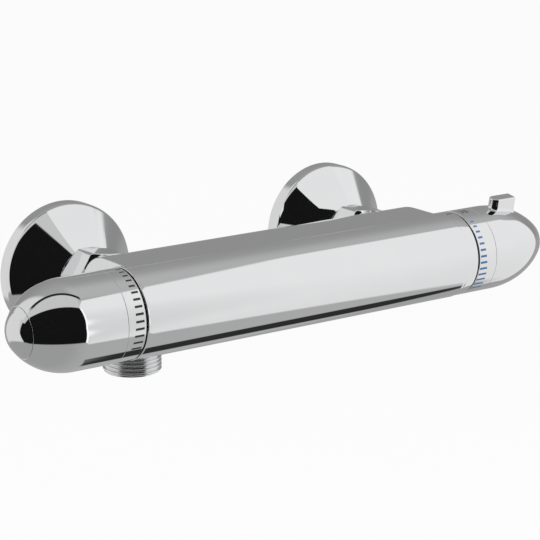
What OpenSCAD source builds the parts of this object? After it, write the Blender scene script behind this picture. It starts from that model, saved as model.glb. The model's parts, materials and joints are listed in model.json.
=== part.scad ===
// Exposed thermostatic shower bar valve with a flow handle, a temperature handle and two wall inlets.
// Origin: in the wall plane, midway between the inlets. +X runs along the bar, +Y into the wall, +Z up.
// Stations along the bar are measured outward from its middle, radii from its axis.

/* [Overall] */
// Distance between the centres of the two wall inlets
inlet_spacing = 150; // [140:1:160]
// Distance from the wall to the axis of the bar
wall_to_bar = 82.5; // [76:0.5:95]
// Diameter of the bar at its collars and handles
bar_d = 40.5; // [40:0.1:42]
// Distance from the centre of each inlet to the body's end face
inlet_to_end = 17; // [16:0.5:19]

/* [Body] */
// How far the middle of the body stands out beyond its end collars
body_swell = 0.25; // [0.1:0.05:0.6]
// Distance from the body's front round back to its rear round
body_depth = 18; // [17:0.5:20]
// Length of the round collar at the flow end
flow_collar_len = 1.5; // [1:0.1:3]
// Length of the round collar at the temperature end
temperature_collar_len = 5.5; // [4:0.1:6]
// Diameter of the boss behind each inlet
boss_d = 27; // [26:0.5:29]
// Height of that boss behind the body
boss_h = 4.5; // [3:0.5:6]
// How far the outlet lies beyond the left inlet
outlet_past_inlet = 2; // [1:0.5:2]
// Diameter of the boss above the outlet
outlet_boss_d = 28.4; // [28:0.2:28.6]
// Height of that boss below the body
outlet_boss_h = 2; // [1:0.5:4]

/* [Waterways] */
// Bore for the flow cartridge
flow_bore_d = 28; // [27.9:0.05:28.4]
// Depth of that bore from the end face
flow_bore_depth = 42; // [41.8:0.1:43]
// Bore for the thermostat cartridge
thermostat_bore_d = 29; // [28.9:0.05:29.4]
// Depth of that bore from the end face
thermostat_bore_depth = 58; // [57.8:0.1:60]
// Depth of the counterbore for each retaining nut
cap_bore_depth = 8; // [8:0.5:9]
// Passage for the mixed water
mixed_d = 16; // [12:1:18]
// Gallery for the hot water
hot_gallery_d = 12; // [10:0.5:12.5]
// How far the gallery lies behind the bar's axis
hot_gallery_back = 25; // [24.5:0.5:25.5]
// How far the gallery lies above the bar's axis
hot_gallery_up = 9; // [8:0.5:9.5]
// Drilling from the gallery into the thermostat bore
hot_port_d = 8; // [6:0.5:9]
// Drilling between the left inlet and the gallery
hot_pocket_d = 10; // [8:0.5:10]
// Bore of the body behind each inlet
inlet_bore_d = 15; // [12:0.5:15.4]
// Vertical drilling down to the outlet
outlet_drill_d = 13.6; // [11:0.2:13.8]
// Cross drilling from the flow bore to the outlet
outlet_port_d = 12; // [9:0.5:12.5]
// How far that drilling lies below the bar's axis
outlet_port_drop = 8; // [7:0.5:9]

/* [Threads] */
// Pitch of the pipe threads
pipe_pitch = 1.814; // [1.6:0.001:1.9]
// Outer diameter of the larger pipe thread
large_thread_d = 26.44; // [26:0.01:26.6]
// Outer diameter of the smaller pipe thread
small_thread_d = 20.955; // [20.5:0.001:21.2]
// Depth of the thread
thread_depth = 1.16; // [0.8:0.01:1.2]

/* [Inlets] */
// Outer diameter of the tail that screws into the body
tail_d = 20; // [19:0.1:20.4]
// Length of the tail inside the boss
tail_grip = 10; // [8:0.5:10]
// Diameter of the collar that the union nut pulls on
tail_collar_d = 24; // [23.6:0.1:24.4]
// Thickness of that collar
tail_collar_t = 2.3; // [2:0.1:3]
// Width of each union nut across its flats
union_af = 30; // [29.6:0.1:32]
// Length of each union nut
union_len = 14; // [13:0.5:16]
// Thickness of the nut's inner lip
union_lip_t = 3; // [2:0.2:4]
// Angle that the left nut is turned from having a corner up
left_nut_angle = 8; // [0:1:30]
// Thickness of the sealing washers
washer_t = 1.5; // [1:0.1:2]
// Bore of the wall connectors
connector_bore_d = 16; // [14:0.5:17]
// Shank of the wall connectors, which the flanges slide on
connector_shank_d = 26; // [24.6:0.1:26]
// Threads that enter the wall
wall_thread_turns = 8; // [6:1:10]
// Threads that enter the union nut
union_thread_turns = 5; // [4:1:5]
// Diameter of each wall flange
flange_d = 65; // [58:1:70]
// Diameter of the flange at the nut
flange_neck_d = 31; // [30:0.5:33]
// Radius between the flange's cone and its side
flange_rim_r = 4; // [2:0.5:5]
// Height of the side at the wall
flange_rim_h = 5.5; // [3:0.5:7]
// Wall thickness of the flange
flange_wall = 1.2; // [0.8:0.1:1.5]

/* [Outlet] */
// Threads on the outlet nipple
outlet_thread_turns = 5; // [4:1:7]
// Bore of the outlet nipple
outlet_bore_d = 18; // [12:0.5:19]
// Shank of the nipple inside the body
nipple_shank_d = 19.2; // [19:0.1:19.6]
// Length of that shank
nipple_shank_len = 8; // [6:0.5:8.5]
// Height of the nipple's shoulder
nipple_shoulder_h = 0.9; // [0.5:0.1:1.5]

/* [Check valves] */
// Outer diameter of each check valve cartridge
check_d = 14.8; // [14.6:0.05:14.9]
// Room that is left for its spring when the poppet is open
check_spring_room = 4.9; // [4:0.1:4.9]
// Wall of the cartridge
check_wall = 1.7; // [1.2:0.1:2]
// Diameter of the opening in its seat
check_seat_d = 8.4; // [7:0.2:9]
// Thickness of its seat and of its spider
check_web = 1.6; // [1.2:0.1:2]
// Diameter of the poppet
poppet_d = 10.4; // [9.6:0.1:10.6]
// Thickness of the poppet
poppet_t = 1.9; // [1.4:0.1:2.4]
// Diameter of the poppet's stem
poppet_stem_d = 2.4; // [2:0.1:2.8]
// Travel of the poppet
poppet_travel = 3; // [2:0.2:3]
// Wire of the check valve springs
check_wire = 0.5; // [0.4:0.05:0.6]
// Turns of the check valve springs
check_turns = 5; // [4:1:7]

/* [Flow cartridge] */
// Clearance between a cartridge and its bore
cartridge_gap = 0.2; // [0.1:0.05:0.3]
// Thickness of the flange of both cartridges
cartridge_flange_t = 2; // [1.5:0.1:2.5]
// Wall of the neck of both cartridges around the temperature spindle's collar
neck_wall = 2; // [1.8:0.1:2.2]
// How far the neck reaches beyond the body's end face
neck_out = 4.5; // [4.5:0.1:5]
// Inner diameter of the flow housing
flow_cavity_d = 22.6; // [22:0.1:23]
// Length of the closed shoulder inside the flow housing
flow_shoulder = 6; // [5:0.5:7]
// Diameter of the ceramic discs
disc_d = 21; // [20:0.1:21.6]
// Thickness of each ceramic disc
disc_t = 3.5; // [3:0.1:4]
// Thickness of the seal under the fixed disc
disc_seal_t = 1.7; // [1.5:0.1:2.2]
// Diameter of the openings in the discs
disc_port_d = 7.2; // [5:0.2:7.4]
// Distance of these openings from the axis
disc_port_r = 5.6; // [5:0.1:6]
// Running gap between the discs
disc_gap = 0.05; // [0.02:0.01:0.1]
// Thickness of the driver bar behind the moving disc
driver_t = 3.6; // [3:0.1:4]
// Width of the driver bar
driver_w = 7; // [6:0.2:8]
// Depth of the lugs that turn the moving disc
driver_lug = 1.6; // [1:0.1:2]
// Diameter of the flow spindle's stem
stem_d = 10; // [9.6:0.1:10.2]
// Radial running clearance of the stems and slides
running_gap = 0.08; // [0.05:0.01:0.1]
// Width of the windows in the flow housing
flow_window_w = 9; // [7:0.5:10]

/* [Thermostat] */
// Distance from the hot seat to the body's end face
hot_seat_to_end = 36; // [35.6:0.1:36.2]
// Distance from the cold seat to the body's end face
cold_seat_to_end = 16; // [15.6:0.1:16.2]
// Thickness of the two seats
seat_t = 3; // [2.5:0.1:3]
// Opening between the shuttle and the hot seat at rest
hot_opening = 0.9; // [0.8:0.05:1]
// Opening between the shuttle and the cold seat at rest
cold_opening = 0.5; // [0.4:0.05:0.6]
// Inner diameter of the sleeve
sleeve_cavity_d = 24.4; // [24:0.1:24.6]
// Diameter that the shuttle slides in
land_d = 21.2; // [21:0.1:21.4]
// Length of that land
land_len = 6.5; // [6:0.5:8]
// Length of the ports in the sleeve
port_len = 5; // [4:0.2:5.4]
// Width of the ports in the sleeve
port_w = 8; // [5:0.5:9]
// Bore of the two seats
seat_bore_d = 17.8; // [17.4:0.1:18.2]
// Wall of the shuttle
shuttle_wall = 1.6; // [1.2:0.1:1.8]
// Thickness of the shuttle's web
web_t = 2.5; // [2:0.1:3]
// Diameter of the wax element's bulb
bulb_d = 11; // [10:0.1:11.4]
// Length of the bulb
bulb_len = 16; // [14:0.5:17]
// Diameter of the wax element's flange
bulb_flange_d = 16.6; // [16:0.1:17]
// Thickness of that flange
bulb_flange_t = 2.5; // [2:0.1:3]
// Diameter of the wax element's guide neck
guide_d = 8; // [7:0.1:8.4]
// Length of the guide neck beyond the web
guide_len = 9; // [8:0.5:10]
// Diameter of the wax element's piston pin
pin_d = 3.2; // [2.8:0.1:3.6]
// Wire of the return spring
return_wire = 1.2; // [0.9:0.1:1.3]
// Turns of the return spring
return_turns = 7; // [5:1:9]
// Lead of the regulating screw for one turn of the handle
regulating_lead = 5.7; // [4:0.1:6]
// Outer diameter of the regulating nut's thread
regulating_d = 12.4; // [12:0.1:12.6]
// Length of that thread
regulating_len = 10; // [9:0.5:11]
// Diameter of the regulating nut's head
regulating_head_d = 18; // [17:0.1:18.4]
// Thickness of that head
regulating_head_t = 3; // [2.6:0.1:3.2]
// Width of its two keys
key_w = 3; // [2:0.1:4]
// Height of its two keys
key_h = 1.2; // [1:0.1:1.3]
// Wire of the overload spring
overload_wire = 1; // [0.7:0.1:1.1]
// Turns of the overload spring
overload_turns = 5; // [4:1:6]
// Thickness of the overload cup
cup_t = 2.4; // [2:0.1:3]
// Diameter of the temperature spindle's collar
collar_d = 21; // [20.6:0.1:21.2]
// Thickness of that collar
collar_t = 4; // [3.4:0.1:4.2]
// Outer diameter of the temperature spindle's threaded cup
spindle_cup_d = 16; // [15.6:0.1:16.4]

/* [Fastening] */
// Length of the retaining nuts
retainer_t = 5; // [4:0.2:5.5]
// Wall of the retaining nuts
retainer_wall = 3.6; // [3:0.1:3.8]
// Width of their spanner slots
spanner_slot = 4; // [3:0.5:5]
// Thickness of the snap rings
snap_t = 1.1; // [0.8:0.1:1.2]
// Section diameter of the seal rings
seal_section = 1.6; // [1.4:0.05:1.7]
// Outer diameter of the splines
spline_d = 10; // [9.6:0.1:10]
// Depth of the spline teeth
spline_depth = 0.7; // [0.5:0.05:0.8]
// Number of spline teeth
spline_teeth = 16; // [12:1:20]
// Length of the splines
spline_len = 10; // [8:0.5:10.5]
// Diameter of the handle screws
screw_d = 4; // [3.5:0.1:4]
// Diameter of their heads
screw_head_d = 7.6; // [7:0.1:8]
// Height of their heads
screw_head_h = 3; // [2.5:0.1:3.5]
// Length of the screw below its head
screw_len = 12; // [11:0.5:12.5]
// Width of the hexagon socket in the head
screw_hex = 3; // [2.5:0.1:3.2]

/* [Handles] */
// Shadow gap between the body and each scale ring
ring_gap = 0.7; // [0.5:0.1:1.5]
// Width of the flow scale ring
flow_ring_w = 8.7; // [8:0.1:10]
// Width of the temperature scale ring
temperature_ring_w = 10.7; // [9:0.1:11]
// Seam between the scale ring and the handle
ring_seam = 0.15; // [0.05:0.05:0.3]
// Wall of the scale rings and handles
handle_wall = 2.7; // [2.4:0.1:2.8]
// Length of the straight part of the flow handle
flow_handle_straight = 19.4; // [18:0.1:22]
// Length of the straight part of the temperature handle
temperature_handle_straight = 8; // [8:0.1:20]
// Length of the flow handle's rounded nose up to its cap
flow_nose_len = 22.9; // [20:0.1:26]
// Length of the temperature handle's rounded nose up to its cap
temperature_nose_len = 30; // [22:0.1:32]
// Diameter of the seam around the end cap
cap_seam_d = 18.3; // [18:0.1:20]
// Height of the end cap's dome
cap_h = 3.7; // [3:0.1:4]
// Depth of the cap's spigot in the handle
cap_spigot = 3; // [2:0.1:3.5]
// Diameter of the handle's hub
hub_d = 20; // [19:0.5:22]
// Outer diameter of the spline inserts
insert_d = 15; // [14:0.2:16]
// Length of the spline inserts
insert_len = 12; // [11.5:0.1:12.5]

/* [Temperature fin] */
// Length of the fin
fin_len = 13.5; // [11:0.5:15]
// Thickness of the fin
fin_t = 6; // [5:0.2:7]
// Radius of the two corners at its end towards the body
fin_corner_r = 2; // [1:0.1:2.4]
// Height of the fin's top above the bar's surface
fin_h = 6.5; // [5:0.1:8]
// Distance of the fin from the seam of the handle
fin_from_seam = 9.4; // [8:0.1:12]
// Angle that the fin is turned from the top towards the front at rest
fin_rest_angle = 10; // [0:1:20]

/* [Travel] */
// Turn of the flow handle from closed to fully open
flow_angle = 90; // [60:5:90]
// Turn of the temperature handle towards cold
cold_angle = 130; // [90:5:140]
// Turn of the temperature handle towards hot
hot_angle = 60; // [40:5:80]
// Width of the rib inside each scale ring
stop_rib_w = 3; // [2.5:0.1:3.5]
// Width of the lugs that it meets
stop_lug_w = 4; // [3:0.1:5]
// Angle left between rib and lug at the end of the travel
stop_margin_angle = 1; // [0.5:0.1:3]

/* [Hidden] */
$fn = 64;

// Overrun of every cut past the face that it opens
overrun = 0.5;
// Part of a thread's pitch that its flat crest takes
crest_share = 0.3;
// Part of a spring wire's ring radius by which the wire keeps off what it lies beside
wire_play = 0.3;
// Depth of a seal groove beside the section of its seal
groove_play = 0.15;
// Clearance of pieces that are put together by hand
fit_gap = 0.3;
// Web between the temperature spindle's cup and its screw hole
spindle_web = 1;

chrome = [0.86, 0.87, 0.89];
brass = [0.80, 0.66, 0.36];
steel = [0.70, 0.71, 0.73];
rubber = [0.08, 0.08, 0.09];
plastic = [0.90, 0.90, 0.87];
ceramic = [0.94, 0.93, 0.90];
copper = [0.74, 0.45, 0.28];

bar_r = bar_d / 2;
body_r = bar_r + body_swell;
inlet_x = inlet_spacing / 2;
end_at = inlet_x + inlet_to_end;
outlet_x = inlet_x + outlet_past_inlet;
neck_d = collar_d + 2 * neck_wall;
cap_bore_d = neck_d + 2 * (retainer_wall + 2 * cartridge_gap);
cartridge_flange_d = cap_bore_d - 2 * cartridge_gap;
cap_bore_at = end_at - cap_bore_depth;
body_back = body_depth + body_r;
boss_at = body_back + boss_h;
union_from = boss_at;
union_to = union_from + union_len;
collar_from = union_from + union_lip_t + fit_gap;
collar_to = collar_from + tail_collar_t;
connector_from = collar_to + washer_t;
tail_from = boss_at - tail_grip;
large_r = large_thread_d / 2;
small_r = small_thread_d / 2;
outlet_face = body_r + outlet_boss_h;
nipple_from = outlet_face + nipple_shoulder_h;

flow_bore_at = end_at - flow_bore_depth;
flow_r = flow_bore_d / 2 - cartridge_gap;
cavity_end = end_at - cap_bore_depth + cartridge_flange_t - flow_shoulder;
flange_to = cap_bore_at + cartridge_flange_t;
retainer_to = flange_to + retainer_t;
neck_to = end_at + neck_out;
disc_at = flow_bore_at + disc_seal_t;
moving_at = disc_at + disc_t + disc_gap;
driver_at = moving_at + disc_t + fit_gap;

thermostat_r = thermostat_bore_d / 2 - cartridge_gap;
thermostat_bore_at = end_at - thermostat_bore_depth;
hot_seat_at = end_at - hot_seat_to_end;
cold_seat_at = end_at - cold_seat_to_end;
sleeve_from = thermostat_bore_at + fit_gap;
shuttle_from = hot_seat_at + hot_opening;
shuttle_to = cold_seat_at - cold_opening;
land_from = (hot_seat_at + cold_seat_at - land_len) / 2;
shuttle_r = land_d / 2 - running_gap;
web_at = hot_seat_at + seat_t * 2 + fit_gap;
bulb_to = web_at - bulb_flange_t;
bulb_from = bulb_to - bulb_len;
guide_to = web_at + web_t + guide_len;
spring_floor = sleeve_from + seat_t;
return_r = seat_bore_d / 2 - wire_play - return_wire / 2;
cold_ring_to = cold_seat_at + seat_t;
head_from = cold_ring_to + seat_t + fit_gap;
head_to = head_from + regulating_head_t;
spindle_from = flange_to + regulating_head_t - cartridge_flange_t / 2 + fit_gap;
spindle_collar_to = spindle_from + collar_t;
regulating_bore_r = overload_wire * 3 + wire_play * 3;
cup_from = head_from - fit_gap;
overload_r = regulating_bore_r - wire_play - overload_wire / 2;
overload_from = cup_from + cup_t;
overload_to = head_to + regulating_len - overload_wire;
snap_from = spindle_collar_to + fit_gap;

ring_from = end_at + ring_gap;
function ring_w(side) = side < 0 ? flow_ring_w : temperature_ring_w;
function ring_to(side) = ring_from + ring_w(side);
function handle_from(side) = ring_to(side) + ring_seam;
function handle_straight(side) = side < 0 ? flow_handle_straight : temperature_handle_straight;
function nose_len(side) = side < 0 ? flow_nose_len : temperature_nose_len;
function handle_straight_to(side) = handle_from(side) + handle_straight(side);
function cap_at(side) = handle_straight_to(side) + nose_len(side);
cap_seam_r = cap_seam_d / 2;
nose_step = bar_r - cap_seam_r;
function nose_arc_r(side) = (nose_len(side) * nose_len(side) + nose_step * nose_step) / (2 * nose_step);
dome_r = (cap_seam_r * cap_seam_r + cap_h * cap_h) / (2 * cap_h);
spline_to = handle_from(1) + handle_wall + screw_d;
spline_from = spline_to - spline_len;
spindle_bore_to = spline_to - screw_len - spindle_web;
insert_from = spline_from + fit_gap;
insert_to = insert_from + insert_len;
hub_from = insert_from;
cavity_to = insert_to - handle_wall / 2;
web_to = insert_to + handle_wall;
inner_r = bar_r - handle_wall;
stop_lug_r = inner_r - fit_gap;
stop_ring_r = neck_d / 2 + (stop_lug_r - neck_d / 2) / 2;
stop_rib_r = stop_ring_r + fit_gap;
stop_angle = asin((stop_rib_w + stop_lug_w) / 2 / stop_rib_r) + stop_margin_angle;
stop_from = ring_from + fit_gap;
rest_angle = -90;
nut_flat_angle = 30;

module rod(r, from, to) translate([0, 0, from]) cylinder(r = r, h = to - from);

module tube(r, bore, from, to) difference() {
    rod(r, from, to);
    rod(bore, from - overrun, to + overrun);
}

// Local z points outward along the bar, local x to the wall and local y up, on the right or left side
module on_side(side)
    translate([0, -wall_to_bar, 0])
        mirror([side < 0 ? 1 : 0, 0, 0])
            rotate([90, 0, 90])
                children();

// Local z points from the bar's axis to the wall, at the inlet on the right or left side
module at_inlet(side)
    translate([side * inlet_x, -wall_to_bar, 0])
        rotate([-90, 0, 0])
            children();

// Local z points down from the bar's axis, at the outlet
module at_outlet()
    translate([-outlet_x, body_depth - wall_to_bar, 0])
        rotate([180, 0, 0])
            children();

function thread_points(r, from, turns, pitch) = concat(
    [[0, from]],
    [for (turn = [0 : turns - 1]) each [
        [r - thread_depth, from + turn * pitch],
        [r, from + (turn + (1 - crest_share) / 2) * pitch],
        [r, from + (turn + (1 + crest_share) / 2) * pitch]
    ]],
    [[r - thread_depth, from + turns * pitch], [0, from + turns * pitch]]);

module male_thread(r, from, turns)
    rotate_extrude() polygon(thread_points(r, from, turns, pipe_pitch));

// One ring of points around the wire of a spring, at a number of turns from its start
function wire_ring(r, wire_r, from, pitch, turn, sides) = [for (side = [0 : sides - 1])
    let (a = 360 * turn,
         q = 360 * side / sides,
         slope = atan(pitch / (2 * PI * r)),
         out = cos(q) * wire_r,
         up = sin(q) * wire_r)
    [(r + out) * cos(a) - up * sin(slope) * sin(a),
     (r + out) * sin(a) + up * sin(slope) * cos(a),
     from + pitch * turn - up * cos(slope)]];

// A wound spring from one station to another as one closed wire
module spring(r, wire, from, to, turns, steps = 10, sides = 6) {
    pitch = (to - from - wire) / turns;
    rings = turns * steps;
    points = [for (i = [0 : rings])
        each wire_ring(r, wire / 2, from + wire / 2, pitch, i / steps, sides)];
    walls = [for (i = [0 : rings - 1], k = [0 : sides - 1])
        let (a = i * sides + k, b = i * sides + (k + 1) % sides)
        each [[a, b, b + sides], [a, b + sides, a + sides]]];
    start = [for (k = [1 : sides - 2]) [0, k + 1, k]];
    last = rings * sides;
    end = [for (k = [1 : sides - 2]) [last, last + k, last + k + 1]];
    polyhedron(points, concat(walls, start, end));
}

module seal_ring(r, at) rotate_extrude() translate([r - seal_section / 2, at]) circle(d = seal_section);

module seal_groove(r, at)
    tube(r + overrun, r - seal_section - groove_play, at - seal_section / 2 - groove_play,
         at + seal_section / 2 + groove_play);

// A block at an angle around the bar, between two radii and two stations
module stop_block(angle, width, r_from, r_to, from, to)
    rotate([0, 0, angle])
        translate([r_from, -width / 2, from])
            cube([r_to - r_from, width, to - from]);

module body_outline() {
    circle(r = body_r);
    translate([body_depth, 0]) circle(r = body_r);
    translate([0, -body_r]) square([body_depth, 2 * body_r]);
}

module body_casting() color(chrome) difference() {
    union() {
        on_side(1) rod(bar_r, -end_at, end_at);
        on_side(1) translate([0, 0, flow_collar_len - end_at])
            linear_extrude(2 * end_at - flow_collar_len - temperature_collar_len) body_outline();
        for (side = [-1, 1]) at_inlet(side) rod(boss_d / 2, body_depth, boss_at);
        at_outlet() rod(outlet_boss_d / 2, 0, outlet_face);
    }
    on_side(-1) rod(flow_bore_d / 2, flow_bore_at, end_at + overrun);
    on_side(1) rod(thermostat_bore_d / 2, thermostat_bore_at, end_at + overrun);
    for (side = [-1, 1]) on_side(side) rod(cap_bore_d / 2, cap_bore_at, end_at + overrun);
    on_side(1) rod(mixed_d / 2, -flow_bore_at - overrun, thermostat_bore_at + overrun);
    on_side(1) translate([hot_gallery_back, hot_gallery_up, 0])
        rod(hot_gallery_d / 2, -inlet_x - hot_pocket_d / 2, hot_port_at() + hot_port_d / 2);
    on_side(1) translate([0, 0, hot_port_at()])
        rotate([0, 0, atan(hot_gallery_up / hot_gallery_back)])
            rotate([0, 90, 0])
                rod(hot_port_d / 2, land_d / 2, hot_gallery_back);
    at_inlet(-1) translate([0, -hot_gallery_up + hot_pocket_d / 4, 0])
        rod(hot_pocket_d / 2, hot_gallery_back, tail_from);
    at_inlet(-1) rod(inlet_bore_d / 2, outlet_drill_wall(), tail_from + overrun);
    at_inlet(1) rod(inlet_bore_d / 2, land_d / 2, tail_from + overrun);
    for (side = [-1, 1]) at_inlet(side) rod(tail_d / 2 + running_gap, tail_from, boss_at + overrun);
    at_outlet() rod(outlet_drill_d / 2, outlet_port_drop / 2, outlet_face + overrun);
    at_outlet() rod(nipple_shank_d / 2 + running_gap, outlet_face - nipple_shank_len, outlet_face + overrun);
    translate([-outlet_x, -wall_to_bar, -outlet_port_drop])
        rotate([-90, 0, 0])
            rod(outlet_port_d / 2, 0, body_depth);
}

function hot_port_at() = hot_seat_at + port_len / 2;
function outlet_drill_wall() = body_depth + outlet_drill_d / 2 + pipe_pitch * 2;

module outlet_nipple() color(chrome) at_outlet() difference() {
    union() {
        rod(nipple_shank_d / 2, outlet_face - nipple_shank_len, outlet_face);
        rod(large_r, outlet_face, nipple_from);
        male_thread(large_r, nipple_from, outlet_thread_turns);
    }
    rod(outlet_bore_d / 2 - thread_depth, outlet_face - nipple_shank_len - overrun, nipple_from);
    rod(outlet_bore_d / 2, nipple_from - overrun, nipple_from + (outlet_thread_turns + 1) * pipe_pitch);
}

module inlet_tail(side) color(brass) at_inlet(side) difference() {
    union() {
        rod(tail_d / 2, tail_from, collar_to);
        rod(tail_collar_d / 2, collar_from, collar_to);
    }
    rod(inlet_bore_d / 2 - check_wall, tail_from - overrun, tail_from + check_web + overrun);
    rod(inlet_bore_d / 2, tail_from + check_web, collar_to + overrun);
}

module union_nut(side, turn) color(chrome) at_inlet(side) rotate([0, 0, turn]) difference() {
    intersection() {
        rod(union_af / sqrt(3), union_from, union_to);
        translate([0, 0, union_from]) cylinder(d = union_af * 2 / sqrt(3), h = union_len, $fn = 6);
        rotate_extrude() polygon([
            [0, union_from], [union_af / 2, union_from],
            [union_af / sqrt(3), union_from + union_lip_t / 2],
            [union_af / sqrt(3), union_to - union_lip_t / 2],
            [union_af / 2, union_to], [0, union_to]]);
    }
    rod(tail_d / 2 + fit_gap, union_from - overrun, union_from + union_lip_t + overrun);
    rod(large_r + running_gap, union_from + union_lip_t, union_to + overrun);
}

module wall_connector(side) color(chrome) at_inlet(side) difference() {
    union() {
        male_thread(large_r, connector_from, union_thread_turns);
        rod(connector_shank_d / 2, connector_from + union_thread_turns * pipe_pitch, wall_to_bar);
        male_thread(small_r, wall_to_bar, wall_thread_turns);
    }
    rod(connector_bore_d / 2, connector_from - overrun,
        wall_to_bar + (wall_thread_turns + 1) * pipe_pitch);
}

// The flange is a straight cone from the nut to a rounded rim, tilted back from the front
flange_from = union_to + fit_gap;
flange_rim_at = wall_to_bar - flange_rim_h;
flange_across = (flange_d - flange_neck_d) / 2 - flange_rim_r;
flange_along = flange_rim_at - flange_from;
flange_slant = sqrt(flange_across * flange_across + flange_along * flange_along);
flange_tilt = acos(flange_rim_r / flange_slant) - atan2(flange_across, flange_along);
function flange_rim_point(a, inset) =
    [flange_d / 2 - flange_rim_r + (flange_rim_r - inset) * sin(a),
     flange_rim_at - (flange_rim_r - inset) * cos(a)];
flange_rim_angles = [for (i = [0 : 6]) flange_tilt + (90 - flange_tilt) * i / 6];

module wall_flange(side) color(chrome) at_inlet(side) difference() {
    rotate_extrude() polygon(concat(
        [[0, flange_from], [flange_neck_d / 2, flange_from]],
        [for (a = flange_rim_angles) flange_rim_point(a, 0)],
        [[flange_d / 2, wall_to_bar], [0, wall_to_bar]]));
    rotate_extrude() polygon(concat(
        [[0, flange_from + flange_wall],
         [flange_neck_d / 2 - flange_wall * tan(flange_tilt / 2), flange_from + flange_wall]],
        [for (a = flange_rim_angles) flange_rim_point(a, flange_wall)],
        [[flange_d / 2 - flange_wall, wall_to_bar + overrun], [0, wall_to_bar + overrun]]));
    rod(connector_shank_d / 2 + fit_gap, flange_from - overrun, wall_to_bar);
}

module inlet_washers() color(rubber) for (side = [-1, 1])
    at_inlet(side) tube(tail_collar_d / 2, connector_bore_d / 2, collar_to, connector_from);

check_len = 2 * check_web + check_spring_room + poppet_travel + poppet_t;
check_from = tail_from + check_web;
check_to = check_from + check_len;
poppet_to = check_to - check_web;
stem_from = check_from - check_web;

module check_housing(side) color(plastic) at_inlet(side) {
    tube(check_d / 2, check_d / 2 - check_wall, check_from, check_to);
    tube(check_d / 2 - check_wall + running_gap, check_seat_d / 2, poppet_to, check_to);
    difference() {
        union() {
            rod(poppet_stem_d, check_from, check_from + check_web);
            for (a = [0 : 120 : 240]) rotate([0, 0, a])
                translate([0, -check_web / 2, check_from])
                    cube([check_d / 2 - check_wall + running_gap, check_web, check_web]);
        }
        rod(poppet_stem_d / 2 + running_gap, check_from - overrun, check_from + check_web + overrun);
    }
}

module check_poppet(side) color(plastic) at_inlet(side) {
    rod(poppet_d / 2, poppet_to - poppet_t, poppet_to);
    rod(poppet_stem_d / 2, stem_from, poppet_to - poppet_t);
}

module check_spring(side) color(steel) at_inlet(side)
    spring(poppet_stem_d / 2 + wire_play + check_wire / 2, check_wire,
           check_from + check_web, poppet_to - poppet_t, check_turns);

module flow_housing() color(brass) on_side(-1) difference() {
    union() {
        rod(flow_r, flow_bore_at + fit_gap, cap_bore_at);
        rod(cartridge_flange_d / 2, cap_bore_at, flange_to);
        rod(neck_d / 2, flange_to, neck_to);
    }
    rod(flow_cavity_d / 2, flow_bore_at - overrun, cavity_end);
    rod(stem_d / 2 + running_gap, cavity_end - overrun, neck_to + overrun);
    for (a = [0 : 90 : 270]) rotate([0, 0, a])
        translate([0, -flow_window_w / 2, driver_at + driver_t])
            cube([flow_r * 2, flow_window_w, cavity_end - driver_at - driver_t - seat_t / 2]);
    for (at = flow_seals_at) seal_groove(flow_r, at);
}
flow_seals_at = [driver_at, cavity_end + flow_shoulder / 2];

module retaining_nut(side) color(brass) on_side(side) difference() {
    tube(cap_bore_d / 2 - cartridge_gap, neck_d / 2 + cartridge_gap, flange_to, retainer_to);
    for (a = [45, 225]) rotate([0, 0, a])
        translate([neck_d / 2, -spanner_slot / 2, retainer_to - retainer_t / 2])
            cube([cap_bore_d, spanner_slot, retainer_t]);
}

module flow_disc_seal() color(rubber) on_side(-1)
    tube(disc_d / 2, mixed_d / 2, flow_bore_at, disc_at);

module disc_ports(turn, from) for (a = [turn, turn + 180]) rotate([0, 0, a])
    translate([disc_port_r, 0, 0]) rod(disc_port_d / 2, from - overrun, from + disc_t + overrun);

module flow_fixed_disc() color(ceramic) on_side(-1) difference() {
    rod(disc_d / 2, disc_at, disc_at + disc_t);
    disc_ports(90, disc_at);
}

module driver_lugs(width, from, to) for (a = [90, 270]) rotate([0, 0, a])
    translate([disc_d / 2 - driver_lug, -width / 2, from])
        cube([driver_lug + overrun, width, to - from]);

module flow_moving_disc() color(ceramic) on_side(-1) difference() {
    rod(disc_d / 2, moving_at, moving_at + disc_t);
    disc_ports(0, moving_at);
    driver_lugs(driver_w / 2 + fit_gap * 2, moving_at + disc_t / 2, moving_at + disc_t + overrun);
}

function spline_tooth_w() = PI * spline_d / spline_teeth / 2;

module spline_outline(gap) {
    circle(r = spline_d / 2 - spline_depth + gap);
    for (tooth = [0 : spline_teeth - 1]) rotate(360 * tooth / spline_teeth)
        translate([0, -spline_tooth_w() / 2 - gap])
            square([spline_d / 2 + gap, spline_tooth_w() + 2 * gap]);
}

module screw_hole(from) rod(screw_d / 2, from, spline_to + overrun);

module flow_spindle() color(brass) on_side(-1) difference() {
    union() {
        intersection() {
            rod(disc_d / 2, driver_at, driver_at + driver_t);
            translate([-driver_w / 2, -disc_d, driver_at]) cube([driver_w, 2 * disc_d, driver_t]);
        }
        intersection() {
            driver_lugs(driver_w / 2, moving_at + disc_t / 2 + fit_gap, driver_at + overrun);
            rod(disc_d / 2, moving_at, driver_at + driver_t);
        }
        rod(stem_d / 2, driver_at, spline_from);
        translate([0, 0, spline_from]) linear_extrude(spline_len) spline_outline(0);
    }
    screw_hole(spline_to - screw_len);
    tube(stem_d, stem_d / 2 - snap_t / 2, neck_to, neck_to + snap_t + running_gap);
    seal_groove(stem_d / 2, (flange_to + retainer_to) / 2);
}

module flow_snap_ring() color(steel) on_side(-1) difference() {
    tube(stem_d / 2 + snap_t * 2, stem_d / 2 - snap_t / 2 + running_gap, neck_to + running_gap / 2,
         neck_to + snap_t);
    translate([0, -stem_d / 4, neck_to - overrun]) cube([stem_d * 2, stem_d / 2, snap_t + 2 * overrun]);
}

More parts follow.
